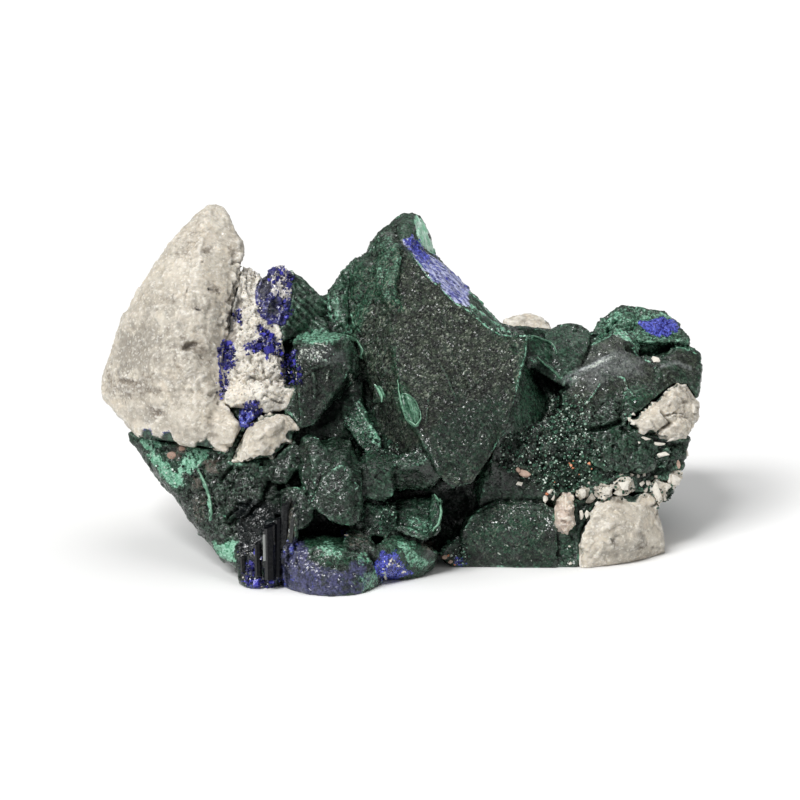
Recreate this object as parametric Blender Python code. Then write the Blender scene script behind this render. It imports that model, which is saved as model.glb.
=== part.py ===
"""Malachite pseudomorph after azurite: a fused cluster of blocky crystals with pale matrix.

The specimen is drawn on a sheet 800 units square, 7.5 units to the millimetre, as it looks
from a viewpoint 450 mm in front of it and leaning down by 15 degrees. Each crystal is the
convex hull of its corners. A corner is written (across, down, depth): its place on the sheet
in units, and its depth in millimetres towards the viewpoint from the sheet's own plane.
The finished model is in metres, +Z up, with its origin under the middle of its box.
"""

import math

import bmesh
import bpy
from mathutils import Vector

# Driving dimensions.
SHEET_UNITS_PER_MM = 7.5
SHEET_MIDDLE = 400.0
VIEW_DISTANCE_MM = 450.0
VIEW_LEAN_DEG = 15.0
SHEET_HEIGHT_MM = 21.76  # height of the sheet's middle above the surface the specimen rests on
CENTRE_X_MM = 0.45  # middle of the box across, before the model is centred
CENTRE_Y_MM = 6.65  # middle of the box from front to back, before the model is centred
MINERAL_GAP_MM = 0.33  # left between two mineral bodies
MM = 0.001

SIN, COS = math.sin(math.radians(VIEW_LEAN_DEG)), math.cos(math.radians(VIEW_LEAN_DEG))


def at(across, down, depth):
    """A corner on the sheet, in millimetres in the model's frame."""
    near = (VIEW_DISTANCE_MM - depth) / VIEW_DISTANCE_MM
    right = (across - SHEET_MIDDLE) / SHEET_UNITS_PER_MM * near
    up = (SHEET_MIDDLE - down) / SHEET_UNITS_PER_MM * near
    return Vector(
        (
            right - CENTRE_X_MM,
            up * SIN - depth * COS - CENTRE_Y_MM,
            up * COS + depth * SIN + SHEET_HEIGHT_MM,
        )
    )


def foot(across, down, below=0.6):
    """A corner whose place on the sheet lies on the resting surface. It runs on a little below, for the base cut."""
    rise = (down - SHEET_MIDDLE) / SHEET_UNITS_PER_MM * COS
    depth = (rise - SHEET_HEIGHT_MM) / (SIN + rise / VIEW_DISTANCE_MM)
    return at(across, down, depth) - Vector((0, 0, below))


def broad(across, down, lift=0.0):
    """A corner on the broad face of the tall crystal, which is one plane that leans back."""
    return (across, down, 3.0 + 0.036 * (down - 360) - 0.0133 * (across - 450) + lift)


def place(corner):
    return corner if isinstance(corner, Vector) else at(*corner)


def block(front, thickness, shrink=0.9, drift=(0.0, 0.0), extra=()):
    """Corners of a crystal: its front corners, a smaller copy of them behind, and any extra ones."""
    points = [place(c) for c in front]
    sheet = [c for c in front if not isinstance(c, Vector)]
    mid_u = sum(c[0] for c in sheet) / len(sheet)
    mid_v = sum(c[1] for c in sheet) / len(sheet)
    for u, v, depth in sheet:
        points.append(
            at(
                mid_u + (u - mid_u) * shrink + drift[0],
                mid_v + (v - mid_v) * shrink + drift[1],
                depth - thickness,
            )
        )
    return points + [place(c) for c in extra]


def mm(x, y, z):
    """A corner given straight in the model's frame, for the sides away from the viewpoint."""
    return Vector((x - CENTRE_X_MM, y - CENTRE_Y_MM, z))


# ---------------------------------------------------------------- malachite crystals
MALACHITE = {
    # The tall crystal in the middle: one broad face, and a narrow top face that slopes away.
    "tall_crystal": [place(c) for c in (
        broad(404, 247), broad(452, 291), broad(500, 335), broad(524, 357), broad(515, 400),
        broad(505, 430), broad(487, 462), broad(471, 485), broad(456, 488.5), broad(440, 480),
        broad(430, 441), broad(410, 420), broad(397, 380), broad(386, 310),
        (418, 238, -9), (447, 268, -9), (472, 292, -9), (499, 321, -8.6), (514, 346, -8),
        (505, 420, -9), (470, 465, -7), (430, 445, -8), (385, 300, -10))],
    "tall_crystal_corner": [place(c) for c in (
        broad(488, 326, -0.1), broad(500, 334, -0.1), broad(527, 336, -0.1), broad(528, 345, -0.1),
        broad(522, 368, -0.1), broad(518, 389, -0.1), broad(500, 392, -0.1), broad(480, 345, -0.1),
        (500, 322, -7), (513, 333, -6), (527, 334, -5), (522, 370, -6))],
    "tall_crystal_side": [place(c) for c in (
        (521, 366, 1.4), (515, 400, 2.8), (508, 425, 3.8), (530, 364, -2.2), (532, 395, -3),
        (546, 400, -4), (547, 424, -3), (523, 432, 1.4), (495, 448, 3.6),
        (520, 370, -10), (540, 430, -10), (495, 440, -9))],
    "tall_crystal_shoulder": [place(c) for c in (
        (404, 247, -0.8), (392, 242, -2), (379, 247, -3.4), (371, 252, -4.4), (362, 258, -5.2),
        (350, 266, -5.8), (349, 300, -3.2), (350, 330, -1.6), (361, 372, -0.6), (375, 398, 0.4),
        (397, 386, 4.0), (391, 330, 2.0), (386, 285, 0.5),
        (392, 236, -12), (352, 270, -13), (356, 335, -12), (380, 400, -9))],
    "tall_crystal_ridge": [place(c) for c in (
        (380, 262, -1.6), (388, 250, -1.4), (400, 246, -0.4), (398, 262, 0.6), (390, 292, 1.5),
        (381, 300, 0.9), (377, 284, -0.4), (390, 290, -6), (384, 255, -6))],
    "tall_crystal_underside": [place(c) for c in (
        (374, 398, 0.6), (397, 390, 3.9), (411, 426, 5.2), (431, 441, 5.8), (428, 447, 4.6),
        (398, 457, 2.6), (385, 448, 1.4), (371, 424, 0.0), (380, 400, -8), (402, 452, -7),
        (425, 440, -6))],
    "tall_crystal_step": [place(c) for c in (
        (397, 379, 4.4), (401, 377, 4.9), (407, 394, 5.5), (419, 413, 6.1), (419, 420, 6.3),
        (416, 427, 6.2), (411, 427, 5.6), (403, 414, 5.0), (399, 400, 4.6), (410, 410, 2))],
    "peak": [place(c) for c in (
        (399, 216, -7), (402, 213, -7.6), (416, 214, -8.2), (421, 218, -8.4), (426, 226, -8.7),
        (431.5, 237, -9.0), (434.5, 255, -9.2), (424, 249, -7), (417, 240, -4.8), (404, 251, -0.9), (390, 222, -6.2),
        (384, 229, -5.6), (380, 232, -5.4), (375, 241, -5), (371, 250, -4.5), (392, 246, -2.2),
        (402, 216, -12.5), (430, 247, -13.5), (380, 238, -12.5))],
    "flake": [place(c) for c in (
        (343, 271, -5), (351, 267, -5.6), (352, 290, -4), (350, 324, -2), (347, 333, -1.2),
        (334, 331, -1.4), (329, 312, -2.4), (328, 298, -3.4), (331, 287, -4.2), (337, 279, -4.8),
        (345, 272, -11), (331, 300, -10), (336, 330, -8), (350, 330, -8))],
    # Between the tall crystal and the right-hand plate.
    "neck": [place(c) for c in (
        (522, 340, -2.2), (535, 335, -3.6), (545, 339, -4.4), (554, 346, -4.6), (558, 362, -4),
        (562, 376, -3.4), (545, 363, -3), (526, 362, -1.8), (530, 338, -11), (556, 350, -12),
        (560, 376, -9), (526, 362, -9))],
    "ledge": [place(c) for c in (
        (524, 356, -0.6), (541, 357, -1.4), (552, 366, -1.2), (565, 378, -0.9), (565, 388, -1.0),
        (552, 377, -1.4), (540, 366, -1.5), (526, 364, -0.8), (526, 358, -9), (562, 380, -9))],
    "leaf": [place(c) for c in (
        (543, 334, -5.6), (552, 328, -6.8), (560, 328, -7.4), (570, 322, -8), (583, 325, -8),
        (590, 332, -7.4), (590, 343, -6), (585, 356, -4.6), (577, 370, -3.6), (566, 385, -2.4),
        (560, 378, -2.5), (554, 352, -3.8), (546, 342, -4.6),
        (560, 330, -16), (585, 330, -15), (580, 370, -12), (562, 376, -11))],
    # The right-hand plate, broken across at its notch.
    "plate": [place(c) for c in (
        (566, 413, -1.0), (562, 392, -1.9), (572, 375, -3.4), (590, 344, -6.6), (606, 335, -7.6),
        (620, 328, -8.2), (628, 330, -8.2), (634, 346, -7.1), (648, 363, -6.2), (660, 376, -5.4),
        (652, 408, -3.2), (627, 425, -1.9), (600, 431, -1.2), (582, 431, -0.8), (600, 380, -2.9),
        (612, 358, -4.6), (600, 345, -15), (640, 355, -15), (650, 410, -13), (570, 410, -12))],
    "plate_wing": [place(c) for c in (
        (640, 368, -5.7), (662, 359, -7.3), (675, 347, -9.2), (686, 346, -9.8), (699, 353, -10.4),
        (702, 358, -10.2), (698, 371, -9.2), (700, 386, -8.8), (699, 403, -8.2), (672, 394, -5.4),
        (650, 409, -3.6), (632, 419, -2.4), (676, 368, -7), (680, 352, -16), (698, 360, -16),
        (696, 400, -14), (640, 400, -13))],
    "plate_rough": [place(c) for c in (
        (621, 396, -2.6), (634, 389, -3.2), (652, 391, -3.6), (648, 408, -3.0), (634, 418, -2.0),
        (622, 414, -1.9), (626, 400, -9), (645, 404, -9))],
    "crest": [place(c) for c in (
        (590, 334, -9.8), (600, 320, -11), (609, 313, -11.6), (618, 307, -12.2), (626, 305, -12.6),
        (638, 308, -12.7), (652, 310, -12.6), (662, 312, -12.4), (671, 317, -12), (679, 326, -11.4),
        (686, 334, -10.8), (690, 340, -10.4), (686, 346, -10.6), (665, 342, -9.2), (645, 343, -8.8),
        (630, 342, -8.9), (610, 336, -8.8), (655, 326, -10.2), (628, 322, -10.2),
        (605, 322, -21), (640, 312, -23), (680, 332, -21), (660, 345, -20), (610, 345, -20))],
    "plate_bridge": [place(c) for c in (
        (612, 352, -5.4), (634, 348, -6.9), (648, 363, -5.9), (662, 360, -6.9), (676, 368, -6.8),
        (690, 384, -7.8), (672, 393, -5.2), (652, 406, -3.3), (630, 404, -2.8), (606, 378, -3.2),
        (640, 372, -14), (660, 392, -13))],
    "crest_root": [place(c) for c in (
        (580, 338, -9.4), (590, 331, -10.4), (604, 330, -10.6), (608, 340, -9.4), (600, 350, -8.6),
        (584, 352, -8.6), (586, 336, -18), (604, 340, -19))],
    "crest_recess": [place(c) for c in (
        (618, 336, -10.4), (632, 350, -9.6), (648, 361, -9.2), (662, 358, -9.8), (674, 348, -10.8),
        (686, 342, -11.4), (640, 338, -11.4), (624, 344, -19), (676, 352, -19))],
    # Below the plates.
    "right_middle": [place(c) for c in (
        (497, 440, 0.8), (520, 430, 0.4), (545, 422, -0.8), (566, 410, -1.8), (600, 428, -2.2),
        (640, 424, -3), (691, 430, -7.2), (690, 440, -7.0), (687, 449, -6.8), (683, 462, -6.2), (679, 482, -5.6),
        (666, 502, -4.8), (650, 498, -3.8), (610, 492, -2.2), (560, 497, -1.1), (505, 500, -0.8),
        (478, 508, -1.4), (474, 488, -2.2), (620, 455, -1.7), (560, 455, 0.0),
        (500, 440, -14), (680, 440, -18), (664, 500, -16), (500, 505, -12))],
    "right_step": [place(c) for c in (
        (583, 432, -1.0), (612, 429, -1.2), (640, 432, -2.2), (668, 447, -3.8), (668, 466, -3.8),
        (640, 474, -1.8), (604, 472, -0.8), (586, 458, -0.4), (600, 440, -8), (650, 460, -9))],
    "right_base": [place(c) for c in (
        (462, 531, 0.4), (471, 519, 0.0), (480, 508, -0.3), (500, 500.5, -0.6), (524, 501, -0.6),
        (545, 503, -0.7), (553, 510, -0.4), (556, 530, 0.2), (558, 548, 0.0),
        (500, 505, -14), (552, 510, -14), (464, 535, -10))]
        + [foot(456, 561), foot(462, 567), foot(500, 567.5), foot(556, 568), mm(7.5, 22, -0.6), mm(20, 22, -0.6)],
    "right_base_druse": [place(c) for c in (
        (441, 553, -0.4), (446, 544, -0.6), (462, 536, -0.6), (464, 560, -0.8), (446, 548, -6),
        (462, 548, -6))] + [foot(444, 557), foot(448, 563), foot(456, 567), foot(466, 567.5)],
    "right_infill": [place(c) for c in (
        (568, 496, -0.8), (592, 493, -1.8), (604, 498, -2.4), (594, 512, -1.4), (583, 528, -1.0),
        (579, 548, -0.9), (571, 542, -1.2), (569, 512, -1.0), (584, 508, -0.9), (572, 500, -9),
        (600, 500, -11), (580, 545, -9))],
    "right_base_dark": [place(c) for c in (
        (554, 512, -1.0), (575, 530, -1.4), (577.5, 540, -1.3), (577.5, 560, -0.9), (560, 500, -8),
        (577, 535, -9))] + [foot(553, 568), foot(577.5, 568), mm(20, 16, -0.6), mm(23.5, 12, -0.6)],
    # Low mass on the left, under the big matrix block.
    "left_mass": [place(c) for c in (
        (128, 433, -3.2), (129, 439, -3.4), (139, 451, -4.2), (150, 432, -1.4), (180, 440, 0.8), (212, 446, 2.2),
        (236, 452, 3.2), (262, 452, 3.6), (278, 450, 3.8), (279, 470, 4.8), (277, 500, 6.0),
        (274, 530, 7.2), (262, 556, 7.8), (246, 566, 7.4), (237, 567, 6.6), (222, 558, 3.8),
        (206, 541, 1.2), (190, 518, -1.4), (176, 495, -3), (152, 464, -4.4), (139, 449, -4.4),
        (136, 440, -13), (180, 450, -17), (200, 520, -10), (240, 560, -2), (270, 540, -6),
        (270, 450, -12))],
    "left_mass_swell": [place(c) for c in (
        (204, 470, 3.4), (226, 458, 4.2), (252, 460, 5.2), (270, 474, 6.0), (262, 500, 6.8),
        (240, 522, 6.4), (216, 512, 4.4), (205, 490, 3.2), (230, 490, -4))],
    "left_mass_rib": [place(c) for c in (
        (214, 536, 2.6), (228, 532, 4.4), (240, 540, 6.6), (243, 560, 7.6), (238, 569, 7.2),
        (226, 562, 4.8), (232, 550, -2))],
    "left_mass_upper": [place(c) for c in (
        (262, 456, 4.8), (276, 447, 5.0), (294, 440, 4.6), (302, 448, 4.6), (300, 468, 5.4),
        (286, 484, 6.6), (270, 482, 6.4), (290, 450, -3), (290, 480, -2))],
    "left_seam": [place(c) for c in (
        (226, 398, 1.6), (246, 400, 2.6), (262, 404, 3.2), (268, 418, 3.8), (248, 440, 4.2),
        (237, 459, 4.4), (227, 457, 3.8), (224, 430, 2.6), (232, 400, -14), (262, 410, -12),
        (240, 450, -10))],
    "left_prism": [place(c) for c in (
        (238, 560, 6.6), (246, 553, 7.6), (262, 545, 8.2), (263.5, 560, 8.6), (237, 577, 7.0),
        (245, 560, 1), (262, 550, 1))] + [foot(240, 583), foot(250, 589), foot(263, 589), mm(-18, -6, -0.6), mm(-20, -6, -0.6)],
    "left_prism_inner": [place(c) for c in (
        (265, 522, 7.6), (273, 518, 8.0), (281, 521, 8.2), (283, 560, 9.2), (265, 560, 8.8),
        (268, 524, 0), (280, 524, 0))] + [foot(266, 588), foot(275, 586), foot(283, 585), mm(-17.5, -6, -0.6), mm(-16, -4, -0.6)],
    "left_column": [place(c) for c in (
        (281, 492, 6.6), (289, 492, 7.4), (294, 505, 8.2), (298, 532, 9.2), (292, 552, 9.8),
        (283, 560, 9.4), (279, 530, 8.6), (284, 500, 0), (296, 540, 1))],
    # Small crystals in the lower middle.
    "small_one": block(((303, 437, 4.8), (310, 434.5, 4.9), (318, 438, 5.4), (326, 452, 6.6),
        (324, 470, 7.4), (317, 488, 8.0), (309, 497, 7.8), (300, 482, 6.6), (298, 456, 5.4),
        (312, 460, 7.4)), 9, 0.9),
    "small_two_top": block(((318, 442, 3.6), (334, 437, 3.0), (350, 440, 3.0), (358, 458, 5.0),
        (361, 470, 6.6), (342, 466, 8.4), (322, 478, 8.4), (319, 460, 6.0)), 8, 0.9),
    "small_two": block(((322, 478, 8.8), (340, 465.5, 8.7), (352, 468, 8.3), (361, 471, 7.2),
        (361, 498, 8.0), (358, 524, 8.2), (350, 525.5, 9.4), (335, 523, 9.9), (318, 512, 9.6),
        (312, 501, 8.9), (351, 474, 9.0), (350, 515, 9.8)), 9, 0.9),
    "small_three": block(((281, 490, 6.8), (290, 486.5, 7.2), (299, 488, 7.8), (306, 498, 8.8),
        (313, 506, 9.2), (313, 520, 9.5), (303, 528, 9.7), (295, 531, 9.5), (287, 518, 8.9),
        (281, 510, 8.0), (300, 508, 9.6)), 8, 0.9),
    "small_four": block(((358, 466, 6.4), (365, 452, 3.6), (378, 448, 2.8), (392, 451, 3.0),
        (400, 459, 4.2), (391, 469.5, 6.4), (393, 496, 5.6), (384, 502, 5.2), (366, 498, 5.6),
        (361, 486, 6.0)), 9, 0.92),
    "small_five": block(((396, 457, 4.0), (413, 449, 4.6), (431, 441, 4.0), (435, 455, 5.0),
        (438, 466, 5.0), (438, 480, 4.4), (430, 488, 3.4), (397, 491, 3.4), (391, 480, 4.8),
        (391, 466, 5.0), (412, 466, 6.0)), 9, 0.92),
    "scoop_floor": block(((393, 502, 1.6), (410, 497, 1.2), (434, 496, 1.4), (438, 512, 3.0),
        (436, 528, 4.4), (415, 532, 5.0), (396, 524, 4.2)), 7, 0.95),
    "scoop_wall": block(((432, 493, 3.6), (437, 497, 4.2), (441, 514, 5.8), (441, 530, 6.8),
        (434, 537, 7.2), (429, 530, 5.8), (431, 510, 4.0)), 8, 0.95),
    "scoop_lip": block(((394, 527, 6.2), (402, 525, 6.2), (414, 530, 6.6), (433, 536, 7.2),
        (424, 540.5, 7.4), (408, 535, 7.2), (396, 531, 6.8)), 8, 0.95),
    "middle_druse": block(((364, 501, 4.0), (380, 499, 3.6), (396, 503, 3.4), (397, 526, 5.4),
        (386, 537, 6.4), (366, 534, 6.6), (362, 518, 5.4), (380, 516, 5.6)), 8, 0.95),
    # Upper left: the crystal behind the blue one, and the flat-topped crystal.
    "upper_left_root": [place(c) for c in (
        (238, 288, -6.4), (250, 282, -6.8), (276, 276, -7.2), (294, 284, -7), (296, 330, -5),
        (238, 334, -5.4), (240, 290, -15), (290, 286, -15), (270, 330, -15))],
    "upper_left": [place(c) for c in (
        (284, 269, -3.6), (293, 273, -3.6), (301, 278, -3.6), (310, 288, -3.4), (319, 296, -3.2),
        (326, 302, -3.2), (329, 313, -3.4), (313, 327, -2.2), (297, 330, -1.0), (277, 345, 0.4),
        (274, 325, -0.6), (284, 300, -1.6), (300, 300, -1.6), (288, 272, -12), (325, 308, -12),
        (300, 330, -12), (276, 335, -10))],
    "flat_topped": [place(c) for c in (
        (293, 342, 3.6), (298, 331, -3), (315, 329, -4), (336, 329, -4), (349, 333, -2.6),
        (347, 337, 3.4), (330, 340, 4.6), (301, 344, 4.4), (297, 370, 4.6), (299, 400, 5.0),
        (301, 428, 5.0), (313, 426, 4.8), (331, 397, 4.6), (350, 371, 3.8), (356, 350, 2.2),
        (362, 372, 0.4), (340, 392, -1), (300, 350, -10), (350, 340, -10), (305, 420, -6))],
    "dark_knobs": block(((284, 386, 2.6), (299, 379, 3.4), (307, 381, 4.2), (311, 395, 4.6),
        (302, 407, 4.8), (300, 425, 4.6), (290, 432, 4.0), (286, 410, 3.6)), 7, 0.95),
    # In the hollow between the flat-topped and the tall crystal.
    "hollow_blade": [place(c) for c in (
        (337, 414, -0.6), (341, 400, -1.2), (349, 393, -1.4), (365, 409, 0.4), (371, 424, 1.4),
        (381, 441, 2.6), (382, 451, 3.2), (362, 450, 3.2), (352, 430, 1.2), (345, 416, 0.4),
        (350, 400, -6), (375, 445, -4))],
    "hollow_chip": [place(c) for c in (
        (349, 391, -2.6), (354, 374, -3), (358, 376, -2.6), (357, 391, -2), (353, 394, -2),
        (354, 385, -6))],
    # The slab at the foot, with a rounded front.
    "foot_slab": [place(c) for c in (
        (283, 553, 8.8), (292, 546, 8.8), (302, 550, 9.8), (330, 549, 10.4), (346, 551, 10.4),
        (362, 553, 9.9), (374, 562, 9.2), (284, 568, 9.4), (310, 575, 11.0), (345, 578, 11.2),
        (366, 575, 10.4), (290, 536, 5.6), (298, 536, 6.4), (338, 537, 6.0), (366, 541, 5))]
        + [foot(281, 585), foot(292, 590), foot(310, 595), foot(330, 597), foot(350, 596),
           foot(363, 593), foot(376, 587), foot(385, 582), mm(-15, 2, -0.6), mm(-4, 2, -0.6)],
    "foot_wedge": block(((342, 546, 8.8), (346, 532, 6.8), (352, 525.5, 5.8), (360, 530, 6.4),
        (371, 539, 7.4), (376, 549, 8.6), (362, 558, 10.0), (346, 556, 10.4)), 7, 0.95),
    "foot_right": [place(c) for c in (
        (370, 552, 8.8), (386, 547, 7.6), (390, 533, 5.4), (400, 532.5, 5.2), (416, 540, 5.8),
        (430, 547, 5.2), (438, 553, 4.2), (436, 561, 3.6), (398, 552, 7.6), (380, 572, 8.2),
        (400, 538, -2), (430, 552, -3))]
        + [foot(380, 578), foot(394, 577), foot(417, 577), foot(421, 570),
           foot(431, 568), mm(-4, 2, -0.6), mm(5, 4, -0.6)],
    # The shadowed body behind the crystals, which carries them all.
    "inner_left": [mm(*p) for p in (
        (-20, 2, 8), (-22, 14, 14), (-17, -1, 20), (-16, 10, 34), (-10, 3, 31), (-8, 14, 33),
        (-5, 1, 24), (-6, -4, 8), (-14, -7, 6), (-14, 16, 8), (-4, 18, 10), (-14, -4, -0.6),
        (-4, -4, -0.6), (-12, 14, -0.6), (-2, 16, -0.6))],
    "inner_middle": [mm(*p) for p in (
        (-7, 4, 30), (16, 8, 30), (-6, 2, 16), (10, 1, 14), (22, 3, 18), (24, 12, 28),
        (-6, 20, 26), (18, 22, 26), (-4, 24, 10), (24, 24, 12), (-5, -3, 5), (9, 0, 3),
        (-5, -2, -0.6), (10, 2, -0.6), (-4, 22, -0.6), (22, 22, -0.6))],
    "inner_right": [mm(*p) for p in (
        (18, 5, 16), (36, 8, 20), (38, 16, 24), (24, 14, 26.5), (34, 17, 27), (36, 23, 18),
        (22, 25, 21), (20, 4, 6), (32, 8, 8), (32, 22, 6), (18, 24, 5), (20, 8, -0.6),
        (29, 12, -0.6), (28, 20, -0.6), (18, 20, -0.6))],
    # The far side: broken faces and low crystals, lower than the near side.
    "back_left": [place(c) for c in (
        (256, 306, -14), (270, 292, -16), (296, 288, -19), (318, 308, -19), (330, 330, -22),
        (248, 340, -22), (258, 392, -27), (300, 360, -28), (326, 392, -27), (250, 440, -24),
        (300, 470, -24), (250, 300, -12), (330, 400, -10), (256, 440, -10))],
    "back_left_low": [place(c) for c in (
        (246, 430, -20), (290, 420, -27), (330, 440, -28), (300, 500, -24), (258, 505, -16),
        (340, 520, -20), (262, 440, -8), (330, 500, -8))],
    "back_tall": [place(c) for c in (
        (394, 262, -15), (408, 246, -15), (428, 262, -17), (452, 290, -18), (478, 312, -19),
        (440, 322, -26), (392, 318, -25), (362, 300, -19), (352, 330, -22), (470, 384, -30),
        (398, 400, -30), (500, 346, -20), (360, 400, -22), (480, 400, -12), (380, 400, -12),
        (440, 300, -10))],
    "back_tall_step": [place(c) for c in (
        (370, 352, -25), (402, 340, -28), (420, 380, -31), (380, 402, -31), (400, 440, -29),
        (352, 420, -27), (360, 380, -18), (400, 420, -18))],
    "back_middle": [place(c) for c in (
        (462, 372, -28), (500, 392, -31), (560, 396, -31), (592, 420, -30), (560, 462, -30),
        (480, 462, -30), (440, 430, -29), (470, 380, -16), (580, 420, -16), (500, 480, -16))],
    "back_right": [place(c) for c in (
        (594, 350, -20), (618, 330, -23), (650, 326, -25), (676, 340, -24), (688, 368, -21),
        (690, 420, -21), (640, 446, -27), (592, 420, -28), (604, 372, -29), (650, 366, -30),
        (600, 360, -12), (676, 360, -12), (680, 430, -12))],
    "back_right_low": [place(c) for c in (
        (600, 430, -27), (640, 420, -29), (676, 440, -24), (660, 480, -23), (610, 490, -26),
        (600, 450, -14), (660, 470, -14))],
    "back_foot": [mm(*p) for p in (
        (-14, 20, 9), (-6, 25, 8), (8, 27, 7), (13, 23, 9), (-10, 14, 10), (-10, 19, -0.6),
        (-3, 23, -0.6), (8, 25, -0.6), (13, 21, -0.6), (-6, 8, -0.6))],
    "back_foot_right": [mm(*p) for p in (
        (14, 24, 6), (24, 25, 7), (29, 20, 8), (16, 20, 9), (15, 22, -0.6), (24, 23, -0.6),
        (28, 18, -0.6), (16, 10, -0.6))],
}

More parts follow.
